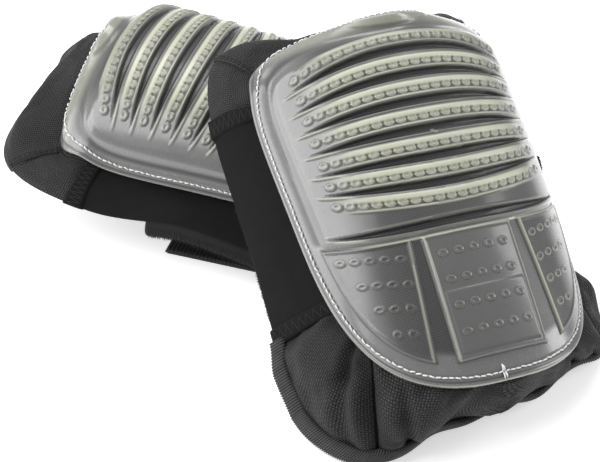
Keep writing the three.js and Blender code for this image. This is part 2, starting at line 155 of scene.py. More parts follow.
# Stations round the pad, as heights on the cap.
CROWN_SEAM = 97.5
WING_TOP = 71
WING_BOTTOM = -30
HEM_WIDTH = 9
TUCK = 7
LEFT_DART_LINE = (math.radians(221), math.radians(249))
RIGHT_DART_LINE = (math.radians(323), math.radians(300))
LEFT_FOLDS = [(0.64, 0.8, 4.5, 4), (0.3, 0.35, 1.0, 9)]
RIGHT_FOLDS = [(0.5, 0.42, 2.2, 7)]
LOWER_FOLDS = [(0.12, 0.2, 4.2, 4), (0.4, 0.36, 2.4, 8), (0.66, 0.72, 3.6, 5), (0.86, 0.88, 2.4, 5)]

# Fabric, tapes, tabs and straps.
WEAVE_PITCH = 1.25
KNIT_PITCH = (0.55, 0.8)
ELASTIC_RIB_PITCH = 1.0
ELASTIC_CORD_PITCH = 2.2
BINDING_RIB_PITCH = 1.35
BINDING_YARN_PITCH = 1.2
BINDING_RIB_HEIGHT = 0.22
BINDING_HALF_WIDTH = 5.8
BINDING_HALF_THICKNESS = 2.4
BINDING_DEPTH = 2.6
BINDING_OUT = 2.5
BINDING_SIDES = 28
TAPER_LENGTH = 16
TAPE_WAVE_LENGTH = 41
BRISTLE_RADIUS = 0.16
CAP_THREAD_RADIUS = 0.42
SEAM_THREAD_RADIUS = 0.22
HEM_THREAD_RADIUS = 0.24
STRAP_THREAD_RADIUS = 0.32
STITCH_LENGTH = 3.3
SEAM_STITCH = (2.2, 0.9)
HEM_STITCH = (2.4, 1.0)
ZIGZAG_TURNS = 16
TUFT_PLACE = -4
TUFT_ENDS = 9
TUCK_SHARE = 0.1
CLOTH_SPACING = 4.5
SKIRT_SPREAD = 1.15
SKIRT_REACH = 76
TAB_TOP = 38
TAB_BOTTOM = -28
FRONT_TAB_FLARE = 13
STRAP_TOP = 29
STRAP_BOTTOM = -30
STRAP_HALF_THICKNESS = 1.05
STRAP_HEM_WIDTH = 12
STRAP_HEM_SWELL = 0.55
STRAP_OFF_GROUND = 1.2
STRAP_DEPTH = 59.1
STRAP_BOW = 9
STRAP_RUNS = {
    "rear": {"sewn_share": 0.86, "sewn_depth": 1.6, "knee": 97.5, "turn_end": 93.0, "free_end": -70},
    "front": {"sewn_share": 0.5, "sewn_depth": 9.2, "knee": 84.0, "turn_end": 72.0, "free_end": -74},
}
LOOP_PATCH_LENGTH = 40
LINING_SCALE = 0.965
LINING_DEPTH = 20.6
LINING_ROLL = 17
QUILT_PITCH = 26
COVER_DEPTH = 3.2
HEM_DEPTH = 2.4
WING_DEPTH = 3.6
SHEET_SPACING = 1.4
HEM_SPACING = 0.9
ZIGZAG_INSET = 1.6
CROWN_TAPE_OUT = -4.0
CROWN_TAPE_UNDER = 3.0
CROWN_STITCH_LINES = (0.84, 1.512)

# Where pieces would turn with a wing, as (last place that stays, first place that swings), for the right
# side; nothing is bent by them.
WING_BEND = ((69.5, 43.5, 20), (74.5, 52.0, 20))
SIDE_COVER_STRETCH = ((80, 50, 96), (80, 50, 82))
LOWER_COVER_STRETCH = ((60, 55, -85), (78, 55, -42))
STRAP_BEND = {"rear": ((98, 66, 0), (95, 79.8, 0)), "front": ((82, 48, 0), (77, 57, 0))}

# ---------- helpers ----------


def smooth(x):
    t = np.clip(x, 0, 1)
    return t * t * (3 - 2 * t)


def bump(x, half):
    """A round-topped bump, 1 at zero and 0 beyond half."""
    return smooth(1 - np.abs(x) / half)


def unit(vectors):
    """Vectors brought to length 1."""
    return vectors / np.maximum(np.linalg.norm(vectors, axis=-1, keepdims=True), 1e-9)


def along_run(points):
    """Distance of each point of a run from the first, along the run."""
    return np.concatenate([[0], np.cumsum(np.linalg.norm(np.diff(points, axis=0), axis=1))])


def run_at(places, along, values):
    """Values (n x 3) of a run at given distances along it."""
    return np.stack([np.interp(places, along, values[:, i]) for i in range(3)], -1)


def side_name(side):
    return "right" if side > 0 else "left"


# ---------- each pad's place, from the joints of the frame ----------


class Pad:
    """Name, origin and axes of one pad. The axes are the columns across, back and up, in the row frame."""

    def __init__(self, name):
        joints = {j["name"]: j for j in frame["joints"]}
        left = joints[f"{name}_left_wing_hinge"]
        right = joints[f"{name}_right_wing_hinge"]
        left_place = np.array(left["pos_m"]) * 1000
        right_place = np.array(right["pos_m"]) * 1000
        up = unit(np.array(left["axis"], float))
        across = unit(right_place - left_place)
        self.name = name
        self.rim_top = RIM_TOP[name]
        self.crown_bulge = CROWN_BULGE[name]
        self.axes = np.column_stack([across, np.cross(up, across), up])
        self.origin = (left_place + right_place) / 2 - self.axes @ HINGE_MIDDLE

    def world(self, points):
        """Points of the pad's frame in metres in the row frame."""
        return (np.asarray(points, float) @ self.axes.T + self.origin) / 1000

    def ground(self, x, z):
        """How far back the ground is below a point of the pad."""
        return -(self.origin[2] + x * self.axes[2, 0] + z * self.axes[2, 2]) / self.axes[2, 1]


# ---------- surfaces ----------


def section(u):
    """Walk a distance across the cap from its centreline: how far across and how far back it gets."""
    steps = 24
    step = np.abs(u) / steps
    across = 0
    back = 0
    for i in range(steps):
        angle = SIDE_ANGLE * ((i + 0.5) * step / SIDE_ANGLE_AT) ** SIDE_ANGLE_POWER
        across = across + np.cos(angle) * step
        back = back + np.sin(angle) * step
    return np.sign(u) * across, back


def skin(u, s):
    """Front skin of the pad: u is the distance across, s the height."""
    across, back = section(u)
    roll = np.maximum(0, (s - ROLL_START) / ROLL_LENGTH) ** 2
    spread = 1 - np.exp(-((np.abs(u) / ROLL_SPREAD) ** 1.8))
    depth = LONG_BOW * s * s + back + roll * (ROLL_CENTRE_DEPTH + ROLL_DEPTH * spread)
    return np.stack([across, depth, s + 0 * across], -1)


def norm_length(x, y, power):
    """Length of (x, y) by a rule whose unit circle is a rounded square: squarer at a higher power."""
    return (np.abs(x) ** power + np.abs(y) ** power) ** (1 / power)


def cap_half(y):
    """Squareness and reach of the upper (y >= 0) or lower half of the cap's outline."""
    top = y >= 0
    return np.where(top, CAP_TOP_SQUARENESS, CAP_BOTTOM_SQUARENESS), np.where(top, CAP_TOP, CAP_BOTTOM)


def outline(angle, inset=0.0):
    """Point of the cap outline in a direction (0 right, a quarter turn top), drawn in by inset."""
    x, y = np.cos(angle), np.sin(angle)
    power, reach = cap_half(y)
    length = norm_length(x, y, power)
    s = CAP_CENTRE + y / length * (reach - inset)
    u = x / length * (CAP_HALF_WIDTH - inset) * (1 + CAP_WIDENING * (s - CAP_CENTRE))
    return u, s


def height_angle(height, side):
    """Direction in which one side of the cap outline is at a given height."""
    power, reach = cap_half(height - CAP_CENTRE)
    y = abs(height - CAP_CENTRE) / reach
    x = (1 - y**power) ** (1 / power)
    angle = math.atan2(y, x) * (1 if height >= CAP_CENTRE else -1)
    return angle if side > 0 else math.pi - angle


def lower_rim_lie(angle):
    """How the front pad's lower rim lies: let down at the left corner, drawn up and wavy at the right."""
    degrees = np.degrees(angle) % 360
    down = LOWER_RIM_DROP * bump(degrees - 236, 46)
    up = LOWER_RIM_LIFT * bump(degrees - 288, 38)
    down = down + 0.8 * LOWER_RIM_DROP * bump(degrees - 328, 26)
    waves = LOWER_RIM_WAVE * np.sin(np.radians(degrees - 262) * 17) * bump(degrees - 300, 42)
    return up - down + waves


def rim(pad, angle):
    """Rim of the fabric shell in the same direction, pressed flat where it meets the ground."""
    _, s = outline(angle)
    top = np.sin(angle) >= 0
    low, high = pad.rim_top
    crown = low + (high - low) * smooth(1.3 * np.abs(np.cos(angle)))
    reach = np.where(top, crown - CAP_CENTRE, CAP_CENTRE - RIM_BOTTOM)
    cap_reach = np.where(top, CAP_TOP, CAP_BOTTOM)
    share = np.abs(s - CAP_CENTRE) / cap_reach
    level = cap_reach / reach
    height = level * share + (1 - level) * share**6
    z = CAP_CENTRE + np.where(top, 1, -1) * height * reach
    width = np.maximum(0, 1 - height**RIM_SQUARENESS) ** (1 / RIM_SQUARENESS)
    x = np.sign(np.cos(angle)) * RIM_HALF_WIDTH * width
    middle = np.where(top, RIM_TOP_DEPTH, RIM_BOTTOM_DEPTH)
    depth = middle + (RIM_SIDE_DEPTH - middle) * width**2 + RIM_CORNER_DEPTH * np.sin(2 * angle) ** 2
    if pad.name == "rear":
        turned = WING_TURNED_UP + WING_TURNED_MORE * smooth((70 - z) / 55)
        depth = depth - turned * np.maximum(0, -np.cos(angle)) ** 0.5
    else:
        z = z + lower_rim_lie(angle)
    return np.stack([x, np.minimum(depth, pad.ground(x, z) - RIM_OFF_GROUND), z], -1)


def skirt(pad, angle, out):
    """Fabric skirt from the cap's edge (out 0) to the rim (out 1), bulging a little."""
    start = skin(*outline(angle))
    end = rim(pad, angle)
    step = end - start
    reach = np.maximum(np.hypot(step[..., 0], step[..., 2]), 1e-6)
    back = step[..., 1]
    chord = np.hypot(reach, back)
    sideness = np.abs(np.cos(angle)) ** 0.5
    full = np.where(np.sin(angle) > 0, pad.crown_bulge, SKIRT_BULGE)
    bulge = 2 * (full + (WING_BULGE - full) * sideness)
    control = start + step / 2
    control[..., 0] += step[..., 0] / reach * bulge * back / chord
    control[..., 2] += step[..., 2] / reach * bulge * back / chord
    control[..., 1] -= bulge * reach / chord
    t = np.asarray(out)[..., None]
    return (1 - t) ** 2 * start + 2 * t * (1 - t) * control + t**2 * end


def even_angles(start, end, count):
    """Directions from start to end that are evenly spaced along the cap's edge."""
    fine = np.linspace(start, end, 600)
    along = along_run(skin(*outline(fine)))
    places = np.linspace(0, along[-1], count)
    return np.interp(places, along, fine), places


def grid_normals(points):
    """Unit normals of a grid of points, away from the inside of the pad."""
    normal = unit(np.cross(np.gradient(points, axis=0), np.gradient(points, axis=1)))
    facing = np.sum(normal * (points - PAD_INSIDE))
    return normal if facing >= 0 else -normal


def smoothed(grid, rounds):
    """Grid of values or points, relaxed along both ways with its border kept."""
    grid = grid.copy()
    for _ in range(rounds):
        grid[1:-1] = (grid[:-2] + 2 * grid[1:-1] + grid[2:]) / 4
        grid[:, 1:-1] = (grid[:, :-2] + 2 * grid[:, 1:-1] + grid[:, 2:]) / 4
    return grid


def soft_normals(points, rounds):
    """Unit normals of a grid of points, relaxed so that creases don't tear a thick sheet."""
    return unit(smoothed(grid_normals(points), rounds))


# ---------- meshes ----------


def quads(index):
    """Faces of a grid of vertex numbers."""
    return np.stack([index[:-1, :-1], index[1:, :-1], index[1:, 1:], index[:-1, 1:]], -1).reshape(-1, 4)


def make_object(name, vertices, faces, material, values=None):
    """Mesh object from vertices in metres in the row frame, with named values on its vertices."""
    mesh = bpy.data.meshes.new(name)
    mesh.from_pydata([tuple(v) for v in vertices], [], [tuple(f) for f in faces])
    mesh.polygons.foreach_set("use_smooth", np.ones(len(mesh.polygons), bool))
    for key, value in (values or {}).items():
        value = np.asarray(value, np.float32)
        if value.ndim == 2:
            mesh.attributes.new(key, "FLOAT_VECTOR", "POINT").data.foreach_set("vector", value.ravel())
        else:
            mesh.attributes.new(key, "FLOAT", "POINT").data.foreach_set("value", value)
    mesh.materials.append(material)
    mesh.update()
    item = bpy.data.objects.new(name, mesh)
    bpy.context.scene.collection.objects.link(item)
    return item


def closed_sheet(middle, normal, half, lift=0.0):
    """Closed body round a grid: a front and a back that meet at the border.

    Returns vertices, faces and, for each vertex, the number of the grid point it came from.
    """
    rows, cols = middle.shape[:2]
    half = np.array(np.broadcast_to(half, (rows, cols)), float)
    half[0] = half[-1] = 0
    half[:, 0] = half[:, -1] = 0
    lifted = middle + normal * np.broadcast_to(lift, (rows, cols))[..., None]
    front = lifted + normal * half[..., None]
    back = middle - normal * half[..., None]
    front_index = np.arange(rows * cols).reshape(rows, cols)
    back_index = front_index.copy()
    inner = np.arange((rows - 2) * (cols - 2)).reshape(rows - 2, cols - 2)
    back_index[1:-1, 1:-1] = rows * cols + inner
    vertices = np.concatenate([front.reshape(-1, 3), back[1:-1, 1:-1].reshape(-1, 3)])
    faces = np.concatenate([quads(front_index), quads(back_index)[:, ::-1]])
    a = np.cross(middle[1, 0] - middle[0, 0], middle[0, 1] - middle[0, 0])
    if np.dot(a, normal[0, 0]) < 0:
        faces = faces[:, ::-1]
    source = np.concatenate([front_index.ravel(), front_index[1:-1, 1:-1].ravel()])
    return vertices, faces, source


def sheet_object(pad, name, middle, normal, half, material, lift=0.0, **values):
    """Closed sheet of the pad's frame as an object, with values given on its grid."""
    vertices, faces, source = closed_sheet(middle, normal, half, lift)
    size = middle.shape[0] * middle.shape[1]
    picked = {key: value.reshape(size, *value.shape[2:])[source] for key, value in values.items()}
    return make_object(f"{pad.name}_{name}", pad.world(vertices), faces, material, picked)


def edge_round(rows_mm, cols_mm, shape, radius):
    """Share of full thickness over a grid, rounded off near all four borders."""
    rows, cols = shape
    a = np.minimum(np.arange(rows), np.arange(rows)[::-1]) * rows_mm / (rows - 1)
    b = np.minimum(np.arange(cols), np.arange(cols)[::-1]) * cols_mm / (cols - 1)
    def share(d):
        t = np.clip(1 - d / radius, 0, 1)
        return np.sqrt(1 - t * t)
    return np.minimum(share(a)[:, None], share(b)[None, :])


def tube_faces(index):
    """Faces of a tube of rings of vertex numbers, with both ends capped."""
    after = np.roll(index, -1, axis=1)
    around = np.stack([index[:-1], after[:-1], after[1:], index[1:]], -1).reshape(-1, 4)
    return [tuple(face) for face in around] + [tuple(index[0][::-1]), tuple(index[-1])]


def tubes(runs, radius, sides=6, pointed=True):
    """Closed thin tubes along runs, each of points, across and away directions, as vertices and faces."""
    vertices, faces, count = [], [], 0
    turn = np.linspace(0, 2 * np.pi, sides, endpoint=False)
    for points, across, away in runs:
        n = len(points)
        share = np.linspace(-1, 1, n)
        size = radius * (np.sqrt(np.maximum(0.0, 1 - 0.94 * share**4)) if pointed else np.ones(n))
        ring = np.cos(turn)[None, :, None] * across[:, None] + np.sin(turn)[None, :, None] * away[:, None]
        vertices.append((points[:, None] + ring * size[:, None, None]).reshape(-1, 3))
        faces += tube_faces(count + np.arange(n * sides).reshape(n, sides))
        count += n * sides
    return np.concatenate(vertices), faces


def run_frame(points, away):
    """Directions across a run of points, square to it and to the away directions."""
    return unit(np.cross(np.gradient(points, axis=0), away))


# ---------- cloth simulation ----------

CLOTH_FRAMES = 20


def blown(points, pinned, growth, pressure, cap):
    """How far each point of an open sheet (mm) moves when it is puffed out as cloth with its pins held."""
    rows, cols = points.shape[:2]
    index = np.arange(rows * cols).reshape(rows, cols)
    faces = quads(index)
    normal = grid_normals(points)
    first = np.cross(points[1, 0] - points[0, 0], points[0, 1] - points[0, 0])
    if np.dot(first, normal[0, 0]) < 0:
        faces = faces[:, ::-1]
    item = make_object("cloth_work", points.reshape(-1, 3) / 1000, faces, None)
    pins = item.vertex_groups.new(name="pins")
    for i in np.flatnonzero(pinned.ravel() > 0):
        pins.add([int(i)], float(pinned.ravel()[i]), "REPLACE")
    cloth = item.modifiers.new("cloth", "CLOTH")
    settings = cloth.settings
    settings.quality = 6
    settings.mass = 0.2
    settings.tension_stiffness = settings.compression_stiffness = 20
    settings.shear_stiffness = 8
    settings.bending_stiffness = 0.4
    settings.air_damping = 4
    settings.vertex_group_mass = "pins"
    settings.use_pressure = True
    settings.uniform_pressure_force = pressure
    settings.shrink_min = -growth
    settings.effector_weights.gravity = 0
    scene = bpy.context.scene
    cloth.point_cache.frame_start = 1
    cloth.point_cache.frame_end = CLOTH_FRAMES
    for number in range(1, CLOTH_FRAMES + 1):
        scene.frame_set(number)
    graph = bpy.context.evaluated_depsgraph_get()
    settled = np.zeros(rows * cols * 3)
    item.evaluated_get(graph).data.vertices.foreach_get("co", settled)
    bpy.data.objects.remove(item)
    scene.frame_set(1)
    moved = settled.reshape(rows, cols, 3) * 1000 - points
    length = np.linalg.norm(moved, axis=-1, keepdims=True)
    return moved * np.minimum(1, cap / np.maximum(length, 1e-9))


def resampled(grid, rows, cols):
    """Smooth copy of a grid at another number of rows and columns."""
    def stretch(values, count):
        old = np.linspace(0, 1, values.shape[0])
        new = np.linspace(0, 1, count)
        flat = values.reshape(values.shape[0], -1)
        columns = [np.interp(new, old, flat[:, k]) for k in range(flat.shape[1])]
        return np.stack(columns, -1).reshape((count,) + values.shape[1:])
    wide = stretch(grid, rows)
    return smoothed(np.swapaxes(stretch(np.swapaxes(wide, 0, 1), cols), 0, 1), 3)


# ---------- materials ----------


class Paint:
    """A material's node graph, with short calls that each add one node and return its output."""

    def __init__(self, name):
        self.material = bpy.data.materials.new(name)
        self.material.use_nodes = True
        self.tree = self.material.node_tree
        self.shader = self.tree.nodes["Principled BSDF"]

    def node(self, kind, **settings):
        node = self.tree.nodes.new(kind)
        for key, value in settings.items():
            setattr(node, key, value)
        return node

    def feed(self, socket, value):
        if isinstance(value, bpy.types.NodeSocket):
            self.tree.links.new(value, socket)
        else:
            socket.default_value = value

    def value(self, name):
        """A named value of the mesh."""
        return self.node("ShaderNodeAttribute", attribute_name=name).outputs["Fac"]

    def place(self, name):
        """A named vector of the mesh, such as its place on the cloth in mm."""
        return self.node("ShaderNodeAttribute", attribute_name=name).outputs["Vector"]

    def here(self):
        """Place in the row frame at rest, in metres."""
        return self.node("ShaderNodeTexCoord").outputs["Object"]

    def math(self, operation, *values):
        node = self.node("ShaderNodeMath", operation=operation)
        for socket, value in zip(node.inputs, values):
            self.feed(socket, value)
        return node.outputs[0]

    def wave(self, value, pitch, operation="SINE"):
        """A wave over a value in mm, from -1 to 1 once in each pitch."""
        return self.math(operation, self.math("MULTIPLY", value, 2 * math.pi / pitch))

    def parts(self, vector):
        node = self.node("ShaderNodeSeparateXYZ")
        self.feed(node.inputs[0], vector)
        return node.outputs[0], node.outputs[1]

    def noise(self, vector, scale, detail=3.0, roughness=0.5):
        node = self.node("ShaderNodeTexNoise")
        self.feed(node.inputs["Vector"], vector)
        self.feed(node.inputs["Scale"], scale)
        self.feed(node.inputs["Detail"], detail)
        self.feed(node.inputs["Roughness"], roughness)
        return node.outputs["Fac"]

    def span(self, value, low, high, to_low=0.0, to_high=1.0):
        """The value moved from one range to another and held inside it."""
        node = self.node("ShaderNodeMapRange")
        for socket, item in zip(node.inputs, (value, low, high, to_low, to_high)):
            self.feed(socket, item)
        return node.outputs[0]

    def blend(self, share, first, second):
        """Colour between two colours."""
        node = self.node("ShaderNodeMix", data_type="RGBA")
        self.feed(node.inputs["Factor"], share)
        self.feed(node.inputs["A"], first)
        self.feed(node.inputs["B"], second)
        return node.outputs["Result"]

    def bump(self, height, distance, strength=1.0):
        node = self.node("ShaderNodeBump")
        self.feed(node.inputs["Height"], height)
        node.inputs["Distance"].default_value = distance
        node.inputs["Strength"].default_value = strength
        return node.outputs["Normal"]

    def finish(self, **inputs):
        for key, value in inputs.items():
            self.feed(self.shader.inputs[key.replace("_", " ")], value)
        return self.material


def grey(value, green=1.0, blue=1.0):
    return (value, value * green, value * blue, 1.0)


def basket(paint, cloth, pitch):
    """Height (0..1) of a basket weave over cloth places in mm, and its checkerboard of yarns."""
    warp = paint.noise(cloth, 0.35, 2.0)
    bent = paint.node("ShaderNodeVectorMath", operation="ADD")
    paint.feed(bent.inputs[0], cloth)
    paint.feed(bent.inputs[1], warp)
    a, b = paint.parts(bent.outputs[0])
    product = paint.math("MULTIPLY", paint.wave(a, 2 * pitch), paint.wave(b, 2 * pitch))
    height = paint.math("POWER", paint.math("ABSOLUTE", product), 0.6)
    return height, paint.math("GREATER_THAN", product, 0.0)


def nylon():
    """Black ballistic nylon in a coarse basket weave, unevenly worn, with painted highlights on the yarn
    tops and painted shade in the gaps.
    """
    paint = Paint("ballistic_nylon")
    cloth = paint.place("cloth")
    height, over = basket(paint, cloth, WEAVE_PITCH)
    wear = paint.noise(cloth, 0.05, 4.0)
    # Painted highlight and shade: the colour follows the weave's height, lighter on yarn tops and darker in
    # the gaps; the wear noise only varies the tone.
    tone = paint.math("MULTIPLY", height, paint.span(over, 0, 1, 0.6, 1.0))
    tone = paint.math("MULTIPLY", tone, paint.span(wear, 0.3, 0.7, 0.8, 1.2))
    colour = paint.blend(tone, grey(0.0015), grey(0.043, 1.0, 1.02))
    return paint.finish(
        Base_Color=colour,
        Roughness=paint.span(height, 0, 1, 0.85, 0.5),
        Specular_IOR_Level=0.3,
        Normal=paint.bump(height, 0.0005, 1.0),
    )


def neoprene():
    """Smooth matte neoprene faced with a fine black knit, with a little lint."""
    paint = Paint("neoprene_jersey")
    cloth = paint.place("cloth")
    a, b = paint.parts(cloth)
    knit = paint.math("MULTIPLY", paint.wave(a, KNIT_PITCH[0]), paint.wave(b, KNIT_PITCH[1]))
    mottle = paint.noise(cloth, 0.12, 5.0)
    lint = paint.span(paint.noise(cloth, 1.1, 1.0), 0.76, 0.8)
    colour = paint.blend(mottle, grey(0.004), grey(0.0075))
    colour = paint.blend(lint, colour, grey(0.05))
    return paint.finish(
        Base_Color=colour,
        Roughness=0.82,
        Specular_IOR_Level=0.15,
        Normal=paint.bump(knit, 0.00008, 0.5),
    )


def webbing():
    """Black grosgrain binding: fine cross ribs with painted highlights on their tops and painted shade
    between them, a little dusty.
    """
    paint = Paint("grosgrain_binding")
    cloth = paint.place("cloth")
    a, b = paint.parts(cloth)
    rib = paint.math("MULTIPLY", paint.wave(a, BINDING_RIB_PITCH, "COSINE"), 0.65)
    yarn = paint.math("MULTIPLY", paint.wave(b, BINDING_YARN_PITCH), 0.35)
    height = paint.math("ADD", rib, yarn)
    lit = paint.span(height, -1, 1)
    # Painted highlight and shade: rib tops lighter and hollows darker, times a noise for uneven dust.
    rib_highlight_and_dust = paint.math("MULTIPLY", lit, paint.span(paint.noise(cloth, 0.2, 3.0), 0.3, 0.7, 0.7, 1.2))
    return paint.finish(
        Base_Color=paint.blend(rib_highlight_and_dust, grey(0.001), grey(0.07)),
        Roughness=0.75,
        Specular_IOR_Level=0.3,
        Normal=paint.bump(height, 0.0001, 0.6),
    )


def clear_plastic():
    """Clear moulded cap, milky where it is thick, with the black weave behind it showing through; its pale
    share also carries painted highlights.
    """
    paint = Paint("clear_thermoplastic")
    cloth = paint.place("cloth")
    weave, _ = basket(paint, cloth, WEAVE_PITCH)
    # The black weave behind the cap, with painted highlights on its yarn tops and painted shade in its gaps.
    behind = paint.blend(weave, grey(0.004), grey(0.045))
    cloud = paint.noise(paint.here(), 38, 4.0)
    milk = paint.blend(cloud, grey(0.15, 1.0, 0.99), grey(0.22, 1.0, 0.99))
    colour = paint.blend(paint.value("see"), milk, behind)
    # The pale colour stands for milky thick plastic and also for the painted highlights on groove lips and
    # tips, stud rims, ledges and tread edges.
    pale_tone = paint.blend(cloud, (0.40, 0.41, 0.31, 1.0), (0.53, 0.54, 0.43, 1.0))
    colour = paint.blend(paint.value("pale"), colour, pale_tone)
    scuff = paint.span(paint.noise(paint.here(), 260, 3.0, 0.6), 0.3, 0.75, 0.2, 0.32)
    rough = paint.math("ADD", scuff, paint.span(paint.value("see"), 0.3, 0.9, 0.0, 0.22))
    return paint.finish(
        Base_Color=colour,
        Roughness=rough,
        Specular_IOR_Level=0.55,
        IOR=1.5,
        Coat_Weight=paint.span(paint.value("see"), 0.3, 0.9, 0.8, 0.3),
        Coat_Roughness=0.14,
        Normal=paint.bump(paint.noise(paint.here(), 120, 3.0), 0.0004, 0.12),
    )


def speckled(name, scale, detail, roughness, colours, relief, **inputs):
    """Material with one fine noise for both its colour and its relief (depth in metres, strength)."""
    paint = Paint(name)
    grain = paint.noise(paint.here(), scale, detail, roughness)
    return paint.finish(Base_Color=paint.blend(grain, *colours), Normal=paint.bump(grain, *relief), **inputs)


def thread(name, tone, gloss):
    """Twisted sewing thread."""
    tones = (grey(tone * 0.75), grey(tone))
    return speckled(name, 2500, 2.0, 0.5, tones, (0.0002, 0.5), Roughness=gloss, Specular_IOR_Level=0.3)


def foam():
    """Dark closed-cell foam."""
    tones = (grey(0.02), grey(0.09))
    return speckled("open_foam", 1800, 3.0, 0.7, tones, (0.0004, 0.8), Roughness=0.95)


def gel():
    """Blue gel cushion, glossy and a little cloudy."""
    tones = ((0.10, 0.20, 0.34, 1), (0.16, 0.30, 0.46, 1))
    finish = {"Roughness": 0.25, "Coat_Weight": 0.5, "Subsurface_Weight": 0.2}
    return speckled("gel_pack", 90, 3.0, 0.5, tones, (0.001, 0.3), **finish)


def brushed(name, tone, depth):
    """Napped fabric: tiny soft loops, uneven in patches."""
    paint = Paint(name)
    nap = paint.noise(paint.here(), 1400, 4.0, 0.7)
    patch = paint.noise(paint.here(), 45, 3.0)
    colour = paint.blend(nap, grey(tone * 0.35), grey(tone))
    colour = paint.blend(paint.span(patch, 0.35, 0.7, 0, 0.35), colour, grey(tone * 0.6))
    return paint.finish(
        Base_Color=colour,
        Roughness=0.95,
        Specular_IOR_Level=0.15,
        Sheen_Weight=0.05,
        Normal=paint.bump(nap, depth, 0.9),
    )


def elastic():
    """Woven elastic strap: lengthwise cords crossed by fine ribs."""
    paint = Paint("woven_elastic")
    a, b = paint.parts(paint.place("cloth"))
    rib = paint.math("MULTIPLY", paint.wave(a, ELASTIC_RIB_PITCH), 0.7)
    height = paint.math("ADD", paint.wave(b, ELASTIC_CORD_PITCH), rib)
    lit = paint.span(height, -1.6, 1.6)
    return paint.finish(
        Base_Color=paint.blend(lit, grey(0.006), grey(0.03)),
        Roughness=0.75,
        Specular_IOR_Level=0.35,
        Normal=paint.bump(height, 0.00012, 0.8),
    )


# ---------- cap ----------


def disc_grid(rows, cols, scale=1.0):
    """Places (u, s) over the cap: a square grid pushed out to the cap's outline."""
    y, x = np.meshgrid(np.linspace(-1, 1, rows), np.linspace(-1, 1, cols), indexing="ij")
    power, reach = cap_half(y)
    factor = scale * np.maximum(np.abs(x), np.abs(y)) / np.maximum(norm_length(x, y, power), 1e-9)
    s = CAP_CENTRE + y * factor * reach
    return x * factor * CAP_HALF_WIDTH * (1 + CAP_WIDENING * (s - CAP_CENTRE)), s


def edge_distance(u, s):
    """How far inside the cap's edge a place is, close to true near the edge."""
    def level(u, s):
        y = s - CAP_CENTRE
        power, reach = cap_half(y)
        return norm_length(u / (CAP_HALF_WIDTH * (1 + CAP_WIDENING * y)), y / reach, power)
    step = 0.05
    across = (level(u + step, s) - level(u - step, s)) / (2 * step)
    along = (level(u, s + step) - level(u, s - step)) / (2 * step)
    return (1 - level(u, s)) / np.maximum(np.hypot(across, along), 2e-3)


def rib_row(index, u):
    """Height of a rib's line, which arches down towards the sides."""
    return RIB_ROWS[index] + (RIB_ARCH_TOP + RIB_ARCH_STEP * index) * (u / RIB_ARCH_AT) ** 2


def tread_top(u):
    """Height of the line along the top of the three tread blocks."""
    return TREAD_TOP + TREAD_TOP_ARCH * (np.abs(u) / TREAD_TOP_ARCH_AT) ** 3


